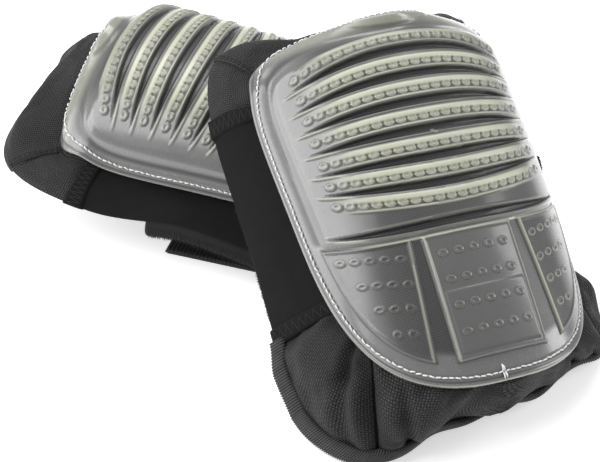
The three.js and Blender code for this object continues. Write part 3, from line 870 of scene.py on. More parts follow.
class Relief:
    """Heights and see-through and pale shares of the cap, built up one feature at a time. The pale share
    holds milky plastic and painted highlights.
    """

    def __init__(self, u, s):
        self.u, self.s, self.wide = u, s, np.abs(u)
        self.edge = edge_distance(u, s)
        self.top = tread_top(u)
        self.ribbed = smooth((s - self.top) / 4)
        inside = smooth((self.edge - PLATFORM_INSET) / PLATFORM_SLOPE)
        self.height = PLATFORM_RAISE * inside * self.ribbed
        middle = self.within(62, 24) * smooth((RIB_ROWS[0] + 9 - s) / 8)
        self.see = 0.3 + 0.52 * middle * self.ribbed
        self.pale = np.zeros_like(u)

    def paler(self, share):
        self.pale = np.maximum(self.pale, share)

    def clearer(self, share):
        self.see = np.maximum(self.see, share)

    def within(self, width, fade):
        """1 nearer the centreline than a width less the fade, falling to 0 at the width."""
        return smooth((width - self.wide) / fade)

    def flange(self):
        """Beaded rim, sunk stitch line and the shallow channel at the foot of the platform."""
        self.height += BEAD_HEIGHT * bump(self.edge - 0.9, 0.9)
        self.height -= STITCH_CHANNEL_DEPTH * bump(self.edge - THREAD_INSET, 1.6)
        channel = bump(self.edge - PLATFORM_INSET, 4.5) * self.ribbed
        self.height -= FOOT_CHANNEL_DEPTH * channel
        self.clearer(0.8 * channel)
        self.clearer(0.95 * bump(self.edge - 2.5, 1.2))
        self.paler(0.4 * bump(self.edge - 0.5, 0.9))
        swell = bump(self.s - CREST_AT, CREST_HALF_WIDTH) * self.within(90, 20)
        self.height += CREST_SWELL * swell * smooth((self.edge + 0.5) / 7)
        crest = smooth((self.s - RIB_ROWS[0] - 4) / 5) * smooth((self.edge - 1) / 4)
        self.paler(0.3 * crest)

    def rib(self, index):
        """One rib: pale strip, round studs hanging from it and a thin pale ledge below."""
        t = self.s - rib_row(index, self.u)
        end = self.within(RIB_END, 18)
        strip = smooth((t + 0.9) / 0.8) * smooth((3.3 - t) / 1.7)
        middle = (STUD_COUNT - 1) / 2
        number = np.clip(np.round(self.u / STUD_PITCH + middle), 0, STUD_COUNT - 1)
        across = self.u - (number - middle) * STUD_PITCH
        from_stud = np.hypot(across / STUD_RADIUS, (t + STUD_BELOW) / STUD_HALF_HEIGHT)
        stud = smooth((1.05 - from_stud) / 0.25)
        self.height += RIB_RAISE * np.maximum(strip * end, 0.8 * stud)
        self.height -= STUD_DISH * smooth((0.6 - from_stud) / 0.3) * (1 - 0.6 * strip * end)
        tone = TOP_RIB_TONE if index == 0 else 1.0
        colour = self.within(RIB_END + 1, 26) * tone
        self.paler(strip * colour)
        self.paler(stud * (0.2 + 0.35 * colour))
        # Painted highlight: the lower rims of the studs are painted pale.
        self.paler(bump(from_stud - 0.88, 0.3) * colour * (t < -1.3))
        ring = bump(from_stud - 1.2, 0.28) * (t < 0)
        self.clearer(0.8 * ring)
        ledge = bump(t + LEDGE_BELOW, 0.9) * self.within(RIB_END - 4, 16)
        self.height += LEDGE_HEIGHT * ledge
        # The ledge's pale line is milky plastic and also a painted highlight along its edge.
        self.paler(0.85 * ledge * tone)

    def groove(self, t, half, depth):
        """A lens-shaped hollow: t is the distance from its middle, half its half width there."""
        floor = smooth((half - np.abs(t)) / 1.3)
        self.height -= depth * floor
        self.see = self.see + (1 - self.see) * floor
        self.pale *= 1 - floor
        tip = smooth((self.wide - 44) / 10) * self.within(68, 7)
        # Painted highlights: thin pale lines along both lips away from the ends, and a bright pale streak
        # along the lower lip near the pointed ends.
        for lip in (half + 0.5, -half - 0.5):
            line = bump(t - lip, 0.8) * (1 - tip) * (half > 0.3)
            self.height += 0.3 * line
            self.paler(0.22 * line)
        self.height += 0.6 * bump(t + half + 0.8, 1.2) * tip
        self.paler(0.6 * bump(t + half + 0.8, 1.0) * tip)

    def grooves(self):
        """A groove between each two ribs, and one above the tread blocks."""
        lens = np.maximum(0, 1 - (self.wide / GROOVE_END) ** 2.6)
        for index in range(len(RIB_ROWS) - 1):
            middle = (rib_row(index, self.u) + rib_row(index + 1, self.u)) / 2 - 0.5
            self.groove(self.s - middle, GROOVE_HALF_WIDTH * lens, GROOVE_DEPTH)
        lens = np.maximum(0, 1 - (self.wide / LAST_GROOVE_END) ** 3)
        self.groove(self.s - self.top - LAST_GROOVE_ABOVE, GROOVE_HALF_WIDTH * lens, GROOVE_DEPTH)

    def block(self, inside, line):
        """Raised block with a soft ridge round its edge: inside is the distance within it."""
        raised = smooth(inside / 1.4 + 0.5)
        self.height += TREAD_RAISE * raised + TREAD_EDGE_HEIGHT * bump(inside - 0.8, 1.1)
        # Painted highlight: a pale line along the block's edge, far paler on the right-hand block, whose
        # inner wall faces the key light from the left. Painted shade: a dark outline just outside the edge,
        # where the black weave is let through.
        self.paler(np.where(self.u > 26, 0.95, 0.5) * bump(line - 0.7, 1.0) * raised)
        self.clearer(0.9 * bump(inside + 0.6, 1.1))
        return raised

    def tread_studs(self, across, row):
        """One row of dished oval studs: across is the distance from the nearest stud's middle."""
        size_u, size_s = TREAD_STUD_SIZE
        away = np.hypot(across / size_u, (self.s - row) / size_s)
        self.height += 0.4 * smooth((1 - away) / 0.3) - 0.35 * smooth((0.6 - away) / 0.3)
        # Painted highlight: a pale ring round each stud, brighter on the right-hand blocks.
        self.paler((0.12 + 0.4 * (self.u > 30)) * bump(away - 0.85, 0.25))
        self.clearer(0.85 * bump(away - 1.15, 0.25))

    def centre_tread(self):
        """Middle block between two channels, with rows of studs and a raised panel low down."""
        inside = CENTRE_TREAD_HALF_WIDTH - self.wide
        centre = np.minimum(np.minimum(inside, self.top - self.s), self.s - CENTRE_TREAD_BOTTOM)
        raised = self.block(centre, inside)
        self.see = self.see + (0.55 - self.see) * raised
        panel = np.minimum(inside - PANEL_INSET, PANEL_TOP - self.s)
        panel = np.minimum(panel, self.s - CENTRE_TREAD_BOTTOM - 2.6)
        self.height += PANEL_RAISE * smooth(panel / 1.6 + 0.5)
        number = np.clip(np.round(self.u / TREAD_STUD_PITCH), -2, 2)
        for row in TREAD_STUD_ROWS:
            self.tread_studs(self.u - number * TREAD_STUD_PITCH, row)

    def side_treads(self):
        """Clear blocks at both sides, whose inner edges lean out, with sloping rows of studs."""
        wide, below = self.wide, self.top - self.s
        share = (self.s - SIDE_TREAD_BOTTOM) / (TREAD_TOP - SIDE_TREAD_BOTTOM)
        inner = SIDE_TREAD_INNER + SIDE_TREAD_LEAN * (1 - np.clip(share, 0, 1.3))
        side = np.minimum(np.minimum(wide - inner, self.edge - SIDE_TREAD_INSET), below)
        raised = self.block(side, wide - inner)
        self.see = self.see + (0.9 - 0.55 * smooth((wide - 46) / 16) - self.see) * raised
        channel = smooth((wide - CENTRE_TREAD_HALF_WIDTH) / 1.2) * smooth((inner - wide) / 1.2)
        self.clearer(0.92 * channel * smooth((below + 1) / 2) * smooth((self.edge - 12) / 6))
        for index, (row, start) in enumerate(zip(SIDE_STUD_ROWS, SIDE_STUD_STARTS)):
            number = np.clip(np.round((wide - start) / SIDE_STUD_PITCH), 0, 4 - index)
            slope = SIDE_STUD_SLOPE * (wide - SIDE_STUD_STARTS[0])
            self.tread_studs(wide - start - number * SIDE_STUD_PITCH, row + slope)

    def tread_ridge(self):
        """Pale ridge along the top of the three blocks."""
        below = self.top - self.s
        self.height += 0.5 * bump(below + 0.2, 1.2) * self.within(70, 3)
        self.paler(0.8 * bump(below + 0.2, 1.1) * self.within(66, 22))

    def plate_and_gate(self):
        """Plain oval where the top is embossed, and the small mark of the moulding gate."""
        away = np.hypot(self.u / PLATE_SIZE[0], (self.s - PLATE_ROW) / PLATE_SIZE[1])
        self.height += 0.5 * smooth((1 - away) / 0.2) + 0.3 * bump(away - 0.9, 0.12)
        self.paler(0.42 * smooth((1 - away) / 0.2))
        middle = (rib_row(3, 0) + rib_row(4, 0)) / 2 - 2.6
        away = np.hypot(self.u, self.s - middle)
        ring = bump(away - GATE_RADIUS, 0.8)
        self.height += 0.5 * ring
        self.paler(0.6 * ring)


def cap_relief(u, s):
    """All the cap's features at places (u, s)."""
    relief = Relief(u, s)
    relief.flange()
    for index in range(len(RIB_ROWS)):
        relief.rib(index)
    relief.grooves()
    relief.centre_tread()
    relief.side_treads()
    relief.tread_ridge()
    relief.plate_and_gate()
    return relief


def make_cap(pad, material):
    """Clear moulded cap with its relief."""
    rows, cols = ((350, 310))
    u, s = disc_grid(rows, cols)
    outer = skin(u, s)
    normal = grid_normals(outer)
    relief = cap_relief(u, s)
    half = CAP_THICKNESS / 2
    round_off = np.sqrt(np.clip(1 - (1 - np.clip(relief.edge, 0, half) / half) ** 2, 0, 1))
    middle = outer - normal * half
    return sheet_object(
        pad, "cap_moulding", middle, normal, half * round_off, material, relief.height * round_off,
        see=np.clip(relief.see, 0, 1),
        pale=np.clip(relief.pale, 0, 1),
        cloth=np.stack([u, s, 0 * u], -1),
    )


def on_cap(u, s, above):
    """Point above the cap's relief, with its outward normal."""
    step = 0.05
    a = skin(u + step, s) - skin(u - step, s)
    b = skin(u, s + step) - skin(u, s - step)
    normal = unit(np.cross(a, b))
    normal = np.where(normal[..., 1:2] > 0, -normal, normal)
    height = cap_relief(u, s).height + above
    return skin(u, s) + normal * height[..., None], normal


def make_stitching(pad, name, runs, radius, material):
    """Thread piece made of runs of stitches."""
    vertices, faces = tubes(runs, radius)
    return make_object(f"{pad.name}_{name}", pad.world(vertices), faces, material)


def cap_stitches(random):
    """Lockstitch round the cap: short stitches that dip at each end and lean a little."""
    angles, along = even_angles(0, 2 * math.pi, 1600)
    arch = 0.75 * np.sqrt(np.clip(1 - np.linspace(-1, 1, 7) ** 2, 0, 1)) - 0.1
    runs = []
    for k in range(int(along[-1] / STITCH_LENGTH)):
        lean = random.uniform(-0.45, 0.45)
        places = np.linspace(k + 0.02, k + 1.0, 7) * STITCH_LENGTH
        inset = THREAD_INSET + lean * np.linspace(-1, 1, 7) + random.uniform(-0.15, 0.15)
        points, normal = on_cap(*outline(np.interp(places, along, angles), inset), arch)
        runs.append((points, run_frame(points, normal), normal))
    return runs


def thread_tuft(random):
    """Loose ends where the lockstitch was tied off, at the bottom of the cap."""
    _, s = outline(math.radians(270), THREAD_INSET)
    share = np.linspace(0, 1, 6)
    runs = []
    for _ in range(TUFT_ENDS):
        spread = random.uniform(-1, 1)
        rise = random.uniform(1.5, 4.0) * random.choice([-1, 1], p=[0.35, 0.65])
        u = TUFT_PLACE + spread * (0.9 - 0.8 * share * np.sign(rise))
        above = 0.6 + 1.3 * np.sin(np.pi * share) * abs(spread)
        points, normal = on_cap(u, s + rise * share, above)
        runs.append((points, run_frame(points, normal), normal))
    return runs


# ---------- fabric shell ----------


def past_flange(share):
    """How far out on the skirt a share of a sheet is: 0 up to the flange's edge, 1 at the rim."""
    return np.maximum(0, (share - TUCK_SHARE) / (1 - TUCK_SHARE))


def shell(pad, angles, shares, out_end=1.0):
    """Outer surface of the fabric: shares 0..TUCK_SHARE lie under the cap's flange, the rest is skirt."""
    inset = TUCK * np.maximum(0, 1 - shares / TUCK_SHARE)
    under = skin(*outline(angles, inset))
    out = past_flange(shares) * out_end
    return np.where((shares < TUCK_SHARE)[..., None], under, skirt(pad, angles, out))


def on_shell(pad, angles, shares, depth, out_end=1.0):
    """Points a depth under the fabric's outer surface, with outward normals."""
    step = 1e-3
    a = shell(pad, angles + step, shares, out_end) - shell(pad, angles - step, shares, out_end)
    b = shell(pad, angles, shares + step, out_end) - shell(pad, angles, shares - step, out_end)
    normal = unit(np.cross(a, b))
    points = shell(pad, angles, shares, out_end)
    facing = np.sum(normal * (points - PAD_INSIDE), axis=-1, keepdims=True)
    normal = np.where(facing < 0, -normal, normal)
    return points - normal * np.asarray(depth)[..., None], normal


class Sheet:
    """A stretch of the fabric shell between two lines, each given as directions at the cap and the rim."""

    def __init__(self, pad, start, end, out_end=1.0, spacing=SHEET_SPACING):
        start, end = np.broadcast_to(start, 2), np.broadcast_to(end, 2)
        _, along = even_angles(start.mean(), end.mean(), 50)
        self.pad, self.out_end, self.start, self.end = pad, out_end, start, end
        self.length = along[-1] * SKIRT_SPREAD
        self.rows = max(8, int(self.length / spacing))
        self.cols = max(8, int(SKIRT_REACH / spacing))

    def grid(self, rows, cols):
        shares = np.linspace(0, 1, cols)[None, :]
        a = np.linspace(0, 1, rows)[:, None]
        even, _ = even_angles(self.start.mean(), self.end.mean(), rows)
        even_share = (even - even[0]) / (even[-1] - even[0])
        out = past_flange(shares)
        first = self.start[0] + (self.start[1] - self.start[0]) * out
        last = self.end[0] + (self.end[1] - self.end[0]) * out
        angles = first + (last - first) * even_share[:, None]
        points = shell(self.pad, angles, shares + 0 * a, self.out_end)
        return points, soft_normals(points, 4)

    def puffed(self, growth, pressure, cap):
        """Displacement by cloth simulation on a coarse copy, pinned at its four borders."""
        rows = max(10, int(self.length / CLOTH_SPACING))
        cols = max(8, int(SKIRT_REACH / CLOTH_SPACING))
        points, _ = self.grid(rows, cols)
        pinned = np.zeros((rows, cols))
        pinned[:, :2] = pinned[:, -2:] = 1
        pinned[:1] = pinned[-1:] = 1
        return blown(points, pinned, growth, pressure, cap)


def cloth_places(points):
    """Places on the cloth in mm: distance along the rows' middle, and out from the cap's edge."""
    along = along_run(points[:, points.shape[1] // 2])
    steps = np.linalg.norm(np.diff(points, axis=1), axis=2).mean(0)
    out = np.concatenate([[0], np.cumsum(steps)])
    return np.stack(np.broadcast_arrays(along[:, None], out[None, :], 0.0), -1)


def waves(places, lengths, phase):
    """Gentle uneven waves over cloth places, about -1..1."""
    total = 0
    for k, length in enumerate(lengths):
        turn = 2 * math.pi / length
        drift = 0.6 * np.sin(places[..., 1] * turn * 0.37 + phase * (k + 1.3))
        total = total + np.sin(places[..., 0] * turn + phase * (k + 1) + drift)
    return total / len(lengths)


def make_sheet(sheet, name, material, depth, half, shape, puff=None, edge=2.0):
    """Closed fabric piece whose outer face lies depth mm under the shell, moved out by shape.

    puff is the cloth's growth, pressure and furthest move, for a piece that is puffed out as cloth.
    """
    points, normal = sheet.grid(sheet.rows, sheet.cols)
    places = cloth_places(points)
    middle = points - normal * (depth + half)
    if puff is not None:
        middle = middle + resampled(sheet.puffed(*puff), sheet.rows, sheet.cols)
    a = np.linspace(0, 1, sheet.rows)[:, None]
    b = np.linspace(0, 1, sheet.cols)[None, :]
    middle = middle + normal * shape(a, b, places)[..., None]
    rounding = edge_round(places[-1, 0, 0], places[0, -1, 1], middle.shape[:2], edge)
    return sheet_object(sheet.pad, name, middle, normal, half * rounding, material, cloth=places)


def puckers(places, length, reach, size, phase):
    """Small gathers that die away from the cap's edge."""
    out = places[..., 1] - TUCK
    fade = np.exp(-np.maximum(out, 0) / reach)
    return size * waves(places, [length, length * 1.7], phase) * fade


def crown_shape(a, b, places):
    """Pillow between the cap and the rim, folded over at its two side seams."""
    out = past_flange(b)
    pillow = 2.2 * np.sin(math.pi * out) ** 0.7
    seam = np.minimum(a, 1 - a) * places[-1, 0, 0]
    lip = 1.6 * np.exp(-((seam / 4.0) ** 2)) * smooth(out / 0.1)
    return pillow * smooth(seam / 18) + lip + puckers(places, 17, 10, 1.2, 2.1)


def side_shape(a, b, places):
    """Slight pillow with small gathers at the cap."""
    out = past_flange(b)
    seam = np.minimum(a, 1 - a)
    return 1.5 * np.sin(math.pi * out) * smooth(seam * 4) + puckers(places, 13, 8, 0.6, 0.7)


def lower_shape(folds, phase):
    """Bulging panel with deep gathers along folds, each (share along at cap, at rim, depth, width)."""
    def shape(a, b, places):
        out = past_flange(b)
        length = places[-1, 0, 0]
        seam = np.minimum(a, 1 - a) * length
        total = 3.6 * np.sin(math.pi * out) ** 0.8 * smooth(seam / 14)
        total = total - 2.6 * np.exp(-((seam / 4.5) ** 2)) * np.sin(math.pi * np.clip(out, 0, 1)) ** 0.5
        for at_cap, at_rim, depth, width in folds:
            line = at_cap + (at_rim - at_cap) * out
            away = (a - line) * length
            total = total - depth * np.exp(-((away / width) ** 2)) * np.sin(math.pi * out) ** 0.4
            total = total + 0.35 * depth * np.exp(-(((away - 1.9 * width) / width) ** 2)) * out
        return total + puckers(places, 15, 16, 1.4, phase)
    return shape


def wing_shape(a, b, places):
    """Nearly flat, with a slow unevenness."""
    out = past_flange(b)
    return 0.5 * np.sin(math.pi * out) + 0.35 * waves(places, [57, 83], 1.4) * np.sin(math.pi * out)


def flat_band(a, b, places):
    """Flat, with a slight waviness along it."""
    return 0.3 + 0 * a * b + 0.25 * waves(places, [31, 47], 0.5)


# ---------- bindings, threads, tabs and straps ----------


def tape_line(pad, angle, places, out, under, taper):
    """Middle of the tape with its outward and normal directions. It slips in behind the hem at a
    tapered end: -1 for the first end, 1 for the last, 0 for neither.
    """
    one = np.ones(len(angle))
    depth = (BINDING_DEPTH + under) * one
    centre, normal = on_shell(pad, angle, 0.955 * one, depth)
    ahead, _ = on_shell(pad, angle, 0.985 * one, depth)
    outward = unit(ahead - centre)
    ends = one
    if taper < 0:
        ends = smooth(places / TAPER_LENGTH)
    if taper > 0:
        ends = smooth((places[-1] - places) / TAPER_LENGTH)
    return centre + outward * (out * ends - 2 * (1 - ends))[:, None], outward, normal


def make_binding(pad, name, span, material, wave=0.0, out=BINDING_OUT, under=0.0, taper=0):
    """Grosgrain tape folded over the rim between two directions, with real cross ribs."""
    angles, _ = even_angles(*span, 400)
    rim_along = along_run(rim(pad, angles))
    per_rib = 4
    rows = int(rim_along[-1] / BINDING_RIB_PITCH * per_rib)
    places = np.linspace(0, rim_along[-1], rows)
    angle = np.interp(places, rim_along, angles)
    centre, outward, normal = tape_line(pad, angle, places, out, under, taper)
    swell = wave * np.sin(2 * math.pi * places / TAPE_WAVE_LENGTH) * np.sin(math.pi * places / places[-1])
    centre = centre + normal * swell[:, None]
    turn = np.linspace(0, 2 * math.pi, BINDING_SIDES, endpoint=False)
    rib = 1 + BINDING_RIB_HEIGHT / BINDING_HALF_THICKNESS * np.cos(2 * math.pi * places / BINDING_RIB_PITCH)
    flat = np.sign(np.cos(turn)) * np.abs(np.cos(turn)) ** 0.8
    thick = np.sign(np.sin(turn)) * np.abs(np.sin(turn)) ** 0.9
    across = outward[:, None] * (flat * BINDING_HALF_WIDTH)[None, :, None]
    deep = normal[:, None] * (thick * BINDING_HALF_THICKNESS)[None, :, None]
    points = centre[:, None] + (across + deep) * rib[:, None, None]
    faces = tube_faces(np.arange(rows * BINDING_SIDES).reshape(rows, BINDING_SIDES))
    first = np.cross(points[0, 1] - points[0, 0], points[1, 0] - points[0, 0])
    if np.dot(first, points[0, 0] - centre[0]) < 0:
        faces = [face[::-1] for face in faces]
    round_mm = turn * (BINDING_HALF_WIDTH + BINDING_HALF_THICKNESS) / 1.8
    cloth = np.stack(np.broadcast_arrays(places[:, None], round_mm[None], 0.0), -1).reshape(-1, 3)
    points = pad.world(points.reshape(-1, 3))
    return make_object(f"{pad.name}_{name}", points, faces, material, {"cloth": cloth})


def stitch_runs(points, normal, length, gap, sag=0.25):
    """Cuts a line of points into stitches that dip at their ends."""
    along = along_run(points)
    dip = sag * (1 - np.linspace(-1, 1, 5) ** 2) - sag * 0.6
    runs = []
    for k in range(int(along[-1] / (length + gap))):
        places = np.linspace(0, length, 5) + k * (length + gap)
        away = unit(run_at(places, along, normal))
        spots = run_at(places, along, points) + away * dip[:, None]
        runs.append((spots, run_frame(spots, away), away))
    return runs


def seam_line(pad, height, side, depth, first=0.12, last=0.97, count=160):
    """Line down the skirt at one height of the cap, a depth under the shell."""
    shares = np.linspace(first, last, count)
    angle = height_angle(height, side)
    return on_shell(pad, angle + 0 * shares, shares, depth + 0 * shares)


def zigzag(pad, low, high, side, depth):
    """Zigzag of straight stitches down a hem band between two heights."""
    shares = np.linspace(0.13, 0.97, ZIGZAG_TURNS + 1)
    angles = [height_angle(high if k % 2 else low, side) for k in range(ZIGZAG_TURNS + 1)]
    fine = np.linspace(0, 1, 7)
    runs = []
    for k in range(ZIGZAG_TURNS):
        share = shares[k] + (shares[k + 1] - shares[k]) * fine
        angle = angles[k] + (angles[k + 1] - angles[k]) * fine
        points, normal = on_shell(pad, angle, share, depth + 0 * fine)
        runs.append((points, run_frame(points, normal), normal))
    return runs


def bristles(points, normal, rows, cols, random):
    """Small stiff hooks standing on a grid of points."""
    runs = []
    for i in range(2, points.shape[0] - 2, rows):
        for j in range(2, points.shape[1] - 2, cols):
            lean = random.uniform(-0.5, 0.5, 3)
            away = unit(normal[i, j] + lean * 0.6)
            height = random.uniform(0.9, 1.5)
            curve = np.linspace(0, 1, 4)[:, None]
            spots = points[i, j] + away * curve * height + lean * 0.5 * curve**2
            side = unit(np.cross(away, [0.3, 0.2, 1.0]))
            across = np.broadcast_to(side, (4, 3))
            runs.append((spots, across, np.broadcast_to(np.cross(away, side), (4, 3))))
    return tubes(runs, BRISTLE_RADIUS, 3, pointed=False)


def joined(first, second):
    """Two sets of vertices and faces as one."""
    offset = len(first[0])
    faces = [tuple(f) for f in first[1]] + [tuple(i + offset for i in f) for f in second[1]]
    return np.concatenate([first[0], second[0]]), faces


def tab_path(pad, side, z, count):
    """Line of a hook tab at one height: from under the wing's edge to its free end."""
    angle = height_angle(z, side)
    one = np.array([angle])
    edge = skirt(pad, one, np.array([1.0]))[0]
    before = skirt(pad, one, np.array([0.9]))[0]
    heading = unit((edge - before) * [1, 1, 0])
    inward = np.array([-side * heading[1], abs(heading[0]), 0.0])
    start = before + inward * 5.5
    if side > 0:
        reach = np.linspace(-6, 21, count)[:, None]
        line = edge + inward * 4.8 + heading * reach
        if pad.name == "front":
            line[:, 0] += FRONT_TAB_FLARE * smooth(z / TAB_TOP) * np.linspace(0, 1, count) ** 1.5
        line[:, 1] = np.minimum(line[:, 1], pad.ground(line[:, 0], z) - 7)
    else:
        t = np.linspace(0, 1, count)[:, None]
        drop = WING_TURNED_UP + 4 if pad.name == "rear" else 0
        corner = edge + np.array([3.0, 5.5 + drop, 0])
        tip = edge + np.array([19.0, 4.4 + drop, 0])
        line = (1 - t) ** 2 * start + 2 * t * (1 - t) * corner + t**2 * tip
    line[:, 2] = z
    return line


def make_hook_tab(pad, side, material):
    """Hook fastener tape on a wing's edge, bristling on its outer face."""
    heights = np.linspace(TAB_BOTTOM, TAB_TOP, 90)
    grid = np.stack([tab_path(pad, side, z, 44) for z in heights])
    normal = soft_normals(grid, 3)
    rounding = edge_round(TAB_TOP - TAB_BOTTOM, 27, grid.shape[:2], 1.0)
    vertices, faces, _ = closed_sheet(grid, normal, rounding)
    hooks = bristles((grid + normal)[:, 6:], normal[:, 6:], 2, 2, np.random.default_rng(5))
    vertices, faces = joined((vertices, faces), hooks)
    name = f"{pad.name}_{side_name(side)}_hook_tape"
    return make_object(name, pad.world(vertices), faces, material)


def strap_depth(pad, x, z):
    """How far back the strap runs: just off the ground, or bowed between the front pad's wings."""
    if pad.name == "rear":
        return pad.ground(x, z) - STRAP_OFF_GROUND
    return STRAP_DEPTH - STRAP_BOW * (1 - (x / RIM_HALF_WIDTH) ** 2)


def strap_path(pad, z, count):
    """Line of the strap at one height, from where it is sewn to the right wing to its free end."""
    run = STRAP_RUNS[pad.name]
    one = np.array([height_angle(max(z, -38), 1)])
    sewn = on_shell(pad, one, np.array([run["sewn_share"]]), np.array([run["sewn_depth"]]))[0][0]
    rear = pad.name == "rear"
    knee_depth = sewn[1] + 8 if rear else strap_depth(pad, run["knee"], z) - 1.0
    sewn[2] = z
    knee = np.array([run["knee"], knee_depth, z])
    turn_end = np.array([run["turn_end"], strap_depth(pad, run["turn_end"], z), z])
    t = np.linspace(0, 1, 30)[:, None]
    bend = (1 - t) ** 2 * sewn + 2 * t * (1 - t) * knee + t**2 * turn_end
    x = np.linspace(turn_end[0], run["free_end"], 170)[1:]
    line = np.concatenate([bend, np.stack([x, strap_depth(pad, x, z), z + 0 * x], -1)])
    along = along_run(line)
    return run_at(np.linspace(0, along[-1], count), along, line)


def make_strap(pad, material, thread_material, loop_material):
    """Elastic strap with a folded and stitched end and a napped loop patch."""
    heights = np.linspace(STRAP_BOTTOM, STRAP_TOP, 50)
    grid = np.stack([strap_path(pad, z, 200) for z in heights])
    normal = soft_normals(grid, 2)
    if normal[..., 1].mean() > 0:
        normal = -normal
    along = along_run(grid[25])
    total = along[-1]
    hem = smooth((along - (total - STRAP_HEM_WIDTH)) / 1.2)
    half = STRAP_HALF_THICKNESS + STRAP_HEM_SWELL * hem
    rounding = edge_round(STRAP_TOP - STRAP_BOTTOM, total, grid.shape[:2], 1.3)
    middle = grid - np.array([0, 1, 0]) * (0.4 * hem)[None, :, None]
    places = np.stack(np.broadcast_arrays(along[None, :], heights[:, None], 0.0), -1)
    strap = sheet_object(pad, "elastic_strap", middle, normal, half * rounding, material, cloth=places)
    loop = make_loop_patch(pad, middle, normal, along, loop_material)
    runs = []
    for back in (2.5, STRAP_HEM_WIDTH - 2):
        column = np.searchsorted(along, total - back)
        for face in (1, -1):
            away = face * normal[3:-3, column]
            runs += stitch_runs(middle[3:-3, column] + away * 1.75, away, *HEM_STITCH)
    return strap, loop, make_stitching(pad, "strap_stitching", runs, STRAP_THREAD_RADIUS, thread_material)


def make_loop_patch(pad, middle, normal, along, material):
    """Woolly loop fastener on the strap, next to its hem."""
    start = np.searchsorted(along, along[-1] - STRAP_HEM_WIDTH - LOOP_PATCH_LENGTH)
    stop = np.searchsorted(along, along[-1] - STRAP_HEM_WIDTH - 1)
    patch = (middle + normal * 1.5)[4:-4, start:stop]
    wool = 0.25 * np.random.default_rng(3).uniform(-1, 1, patch.shape[:2])
    fine = edge_round(50, LOOP_PATCH_LENGTH, patch.shape[:2], 1.2)
    return sheet_object(pad, "loop_tape", patch, normal[4:-4, start:stop], (0.8 + wool) * fine, material)


def make_lining(pad, material):
    """Quilted bowl behind the foam, rolled forward over the foam's edge."""
    rows, cols = ((200, 180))
    u, s = disc_grid(rows, cols, LINING_SCALE)
    points = skin(u, s)
    normal = soft_normals(points, 3)
    edge = edge_distance(u, s)
    roll = smooth((LINING_ROLL - edge) / LINING_ROLL)
    depth = LINING_DEPTH - (LINING_DEPTH - 8.5) * roll**1.5
    a = (u + s) / QUILT_PITCH * math.pi / math.sqrt(2)
    b = (u - s) / QUILT_PITCH * math.pi / math.sqrt(2)
    puff = 2.6 * (np.abs(np.sin(a) * np.sin(b))) ** 0.45 * smooth((edge - 16) / 12)
    middle = points - normal * (depth + puff)[..., None]
    rounding = edge_round(170, 150, (rows, cols), 2)
    cloth = np.stack([u, s, 0 * u], -1)
    return sheet_object(pad, "quilted_lining", middle, normal, rounding, material, cloth=cloth)


# ---------- assembly ----------

NYLON = nylon()
NEOPRENE = neoprene()
WEBBING = webbing()
PLASTIC = clear_plastic()
WHITE_THREAD = thread("white_thread", 0.82, 0.75)
BLACK_THREAD = thread("black_thread", 0.014, 0.7)
HOOK = brushed("hook_tape", 0.022, 0.0004)
LOOP = brushed("loop_tape", 0.018, 0.0006)
LINING = brushed("brushed_lining", 0.03, 0.0003)
ELASTIC = elastic()
FOAM = foam()
GEL = gel()


def dress(piece, slot, body=None, *nodes):
    """Hides the CAD nodes a piece stands for and hangs it on the body it rides on; slot is not used.
    """
    if nodes:
        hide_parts(*nodes)
    if body:
        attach(piece, body)
    return piece


def toward_wing(pad, piece, side, places):
    """Bakes a piece's transform into its mesh. The places, the last that would stay with the pad and the
    first that would swing, are worked out but not used, so nothing bends with the wing.
    """
    start, end = [pad.world(place * np.array([side, 1, 1])) for place in places]
    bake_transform(piece)


def between(pad, low, high, side, out_end=1.0, spacing=SHEET_SPACING):
    """Sheet of the shell between two heights on one side."""
    a, b = sorted((height_angle(low, side), height_angle(high, side)))
    return Sheet(pad, a, b, out_end, spacing)


def add_wing(pad, side):
    """Side wing with its two hem bands, their stitching and the hook tab."""
    label = f"{pad.name}_{side_name(side)}"
    panel = between(pad, WING_BOTTOM - 3, WING_TOP + 3, side)
    wing = make_sheet(panel, f"{side_name(side)}_wing_panel", NEOPRENE, WING_DEPTH, 1.9, wing_shape)
    bending = [dress(wing, "neoprene", None, f"{label}_wing")]
    runs = []
    bands = (("upper", WING_TOP, WING_TOP + HEM_WIDTH), ("lower", WING_BOTTOM - HEM_WIDTH, WING_BOTTOM))
    for place, low, high in bands:
        band = make_sheet(between(pad, low, high, side, 1.0, HEM_SPACING), f"{side_name(side)}_{place}_band",
                          NEOPRENE, HEM_DEPTH, 2.2, flat_band, edge=1.6)
        bending.append(dress(band, "neoprene", None, f"{label}_{place}_hem"))
        runs += zigzag(pad, low + ZIGZAG_INSET, high - ZIGZAG_INSET, side, HEM_DEPTH - 0.45)
    dress(make_hook_tab(pad, side, HOOK), "hook_tape", f"{label}_wing", f"{label}_hook_tab")
    points, normal = seam_line(pad, WING_TOP + HEM_WIDTH - 1.2, side, HEM_DEPTH - 0.35)
    runs += stitch_runs(points, normal, *SEAM_STITCH)
    name = f"{side_name(side)}_hem_stitching"
    stitching = make_stitching(pad, name, runs, HEM_THREAD_RADIUS, BLACK_THREAD)
    for piece in (*bending, stitching):
        toward_wing(pad, piece, side, WING_BEND)


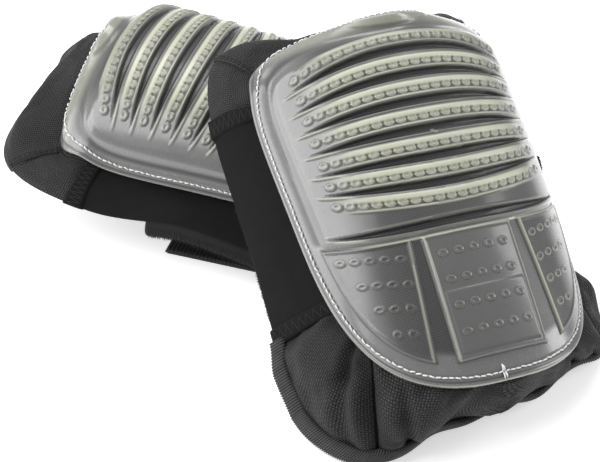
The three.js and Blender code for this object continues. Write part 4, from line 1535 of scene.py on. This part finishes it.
def add_crown(pad):
    """Crown cover with its tape and seam stitches."""
    body = f"{pad.name}_pad"
    span = (height_angle(CROWN_SEAM, 1), height_angle(CROWN_SEAM, -1))
    crown = make_sheet(Sheet(pad, *span, 0.96), "crown_fabric", NYLON, COVER_DEPTH, 2.4,
                       crown_shape, (0.02, 3.0, 4))
    dress(crown, "nylon", body, f"{pad.name}_crown_cover")
    tape = make_binding(pad, "crown_tape", span, WEBBING, out=CROWN_TAPE_OUT, under=CROWN_TAPE_UNDER)
    dress(tape, "binding", body, f"{pad.name}_crown_binding")
    runs = []
    for side in (-1, 1):
        for above in CROWN_STITCH_LINES:
            points, normal = seam_line(pad, CROWN_SEAM + above, side, COVER_DEPTH - 1.75)
            runs += stitch_runs(points, normal, *SEAM_STITCH)
    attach(make_stitching(pad, "crown_stitching", runs, SEAM_THREAD_RADIUS, BLACK_THREAD), body)


def add_side_cover(pad, side):
    """Gusset between the crown and a wing. The piece does not stretch when the wing swings."""
    sheet = between(pad, WING_TOP + HEM_WIDTH - 4, CROWN_SEAM + 1.4, side, 0.99)
    cover = make_sheet(sheet, f"{side_name(side)}_side_fabric", NYLON, COVER_DEPTH + 0.6, 2.2,
                       side_shape, (0.015, 2.0, 3))
    dress(cover, "nylon", None, f"{pad.name}_{side_name(side)}_side_cover")
    toward_wing(pad, cover, side, SIDE_COVER_STRETCH)


def add_lower_cover(pad):
    """Lower cover in three panels between its darts, each with its tape."""
    low = WING_BOTTOM - HEM_WIDTH + 3
    left_hem = height_angle(low, -1)
    right_hem = 2 * math.pi + height_angle(low, 1)
    parts = (
        ("left", -1, left_hem, LEFT_DART_LINE, LEFT_FOLDS, 0.3),
        ("middle", 0, LEFT_DART_LINE, RIGHT_DART_LINE, LOWER_FOLDS, 1.7),
        ("right", 1, RIGHT_DART_LINE, right_hem, RIGHT_FOLDS, 2.9),
    )
    for where, side, start, end, folds, phase in parts:
        cover = make_sheet(Sheet(pad, start, end, 0.96), f"lower_{where}_fabric", NYLON,
                           COVER_DEPTH, 2.4, lower_shape(folds, phase), (0.05, 4.0, 5))
        span = (np.broadcast_to(start, 2)[1], np.broadcast_to(end, 2)[1])
        wave = 2.0 if side >= 0 else 0.6
        tape = make_binding(pad, f"lower_{where}_tape", span, WEBBING, wave, taper=side)
        if side == 0:
            dress(cover, "nylon", f"{pad.name}_pad", f"{pad.name}_lower_cover")
            dress(tape, "binding", f"{pad.name}_pad", f"{pad.name}_lower_binding")
        else:
            toward_wing(pad, dress(cover, "nylon"), side, LOWER_COVER_STRETCH)
            toward_wing(pad, dress(tape, "binding"), side, LOWER_COVER_STRETCH)


def add_strap(pad):
    """Strap with its loop patch and stitches. The places where its root would bend between the wing and the
    strap are worked out but not used.
    """
    name = pad.name
    strap, loop, stitching = make_strap(pad, ELASTIC, BLACK_THREAD, LOOP)
    dress(strap, "elastic", None, f"{name}_strap", f"{name}_strap_hem")
    root, free = [pad.world(place) for place in STRAP_BEND[name]]
    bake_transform(strap)
    dress(loop, "loop_tape", f"{name}_strap", f"{name}_strap_loop_patch")
    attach(stitching, f"{name}_strap")


def add_pad(name):
    """All the pieces of one pad, and new materials for the CAD nodes that stay."""
    pad = Pad(name)
    body = f"{name}_pad"
    dress(make_cap(pad, PLASTIC), "clear_plastic", body, f"{name}_cap")
    random = np.random.default_rng(11)
    runs = cap_stitches(random) + thread_tuft(random)
    stitching = make_stitching(pad, "cap_stitching", runs, CAP_THREAD_RADIUS, WHITE_THREAD)
    dress(stitching, "thread", body, f"{name}_cap_thread")
    dress(make_lining(pad, LINING), "lining", body, f"{name}_knee_lining")
    add_crown(pad)
    for side in (-1, 1):
        add_side_cover(pad, side)
    add_lower_cover(pad)
    for side in (-1, 1):
        add_wing(pad, side)
    add_strap(pad)
    for node, finish in (("front_panel", NYLON), ("foam_core", FOAM), ("gel_insert", GEL)):
        slots = frame["nodes"][f"{name}_{node}"].data.materials
        slots.clear()
        slots.append(finish)


add_pad("rear")
add_pad("front")

# ---------- stage, lights and camera ----------

WORLD_LIGHT = 0.4
# Name, place and target in metres, size in metres and power in watts.
LIGHTS = (
    ("key_softbox", (-0.9, -0.2, 1.25), (0, 0, 0.05), (1.3, 1.3), 19),
    ("left_softbox", (-1.25, -0.15, 0.42), (0, 0, 0.1), (0.9, 0.7), 7),
    ("top_softbox", (0.15, 0.75, 1.2), (0, 0, 0.05), (1.3, 0.5), 11),
    ("right_strip", (1.3, 0.1, 0.6), (0, 0, 0.05), (0.3, 1.0), 5),
)
CAMERA_PLACE = (-0.0019, -0.6671, 0.5997)
CAMERA_LOOKS_DOWN = 41.5
CAMERA_LENS = 95.4


def add_floor():
    bpy.ops.mesh.primitive_plane_add(size=12)
    floor = bpy.context.object
    floor.name = "floor"
    paint = Paint("floor_paper")
    tone = paint.noise(paint.here(), 3, 2.0)
    floor.data.materials.append(paint.finish(
        Base_Color=paint.blend(tone, grey(0.92), grey(0.95)),
        Roughness=0.9,
        Specular_IOR_Level=0.1,
        Emission_Color=grey(1.0),
        Emission_Strength=0.5,
    ))


def add_light(name, place, target, size, power):
    light = bpy.data.lights.new(name, "AREA")
    light.shape = "RECTANGLE"
    light.size, light.size_y = size
    light.energy = power
    item = bpy.data.objects.new(name, light)
    item.location = place
    item.rotation_euler = (Vector(target) - Vector(place)).to_track_quat("-Z", "Y").to_euler()
    bpy.context.scene.collection.objects.link(item)


def add_lights():
    world = bpy.data.worlds.new("studio")
    world.use_nodes = True
    background = world.node_tree.nodes["Background"].inputs
    background[0].default_value = grey(1.0)
    background[1].default_value = WORLD_LIGHT
    bpy.context.scene.world = world
    for light in LIGHTS:
        add_light(*light)


def add_camera():
    camera = bpy.data.cameras.new("camera")
    camera.sensor_width = 36
    camera.lens = CAMERA_LENS
    item = bpy.data.objects.new("camera", camera)
    item.location = CAMERA_PLACE
    item.rotation_euler = (math.radians(90 - CAMERA_LOOKS_DOWN), 0, 0)
    bpy.context.scene.collection.objects.link(item)
    bpy.context.scene.camera = item


add_floor()
add_lights()
add_camera()
bpy.context.scene.view_settings.view_transform = "Standard"

bpy.context.view_layer.update()
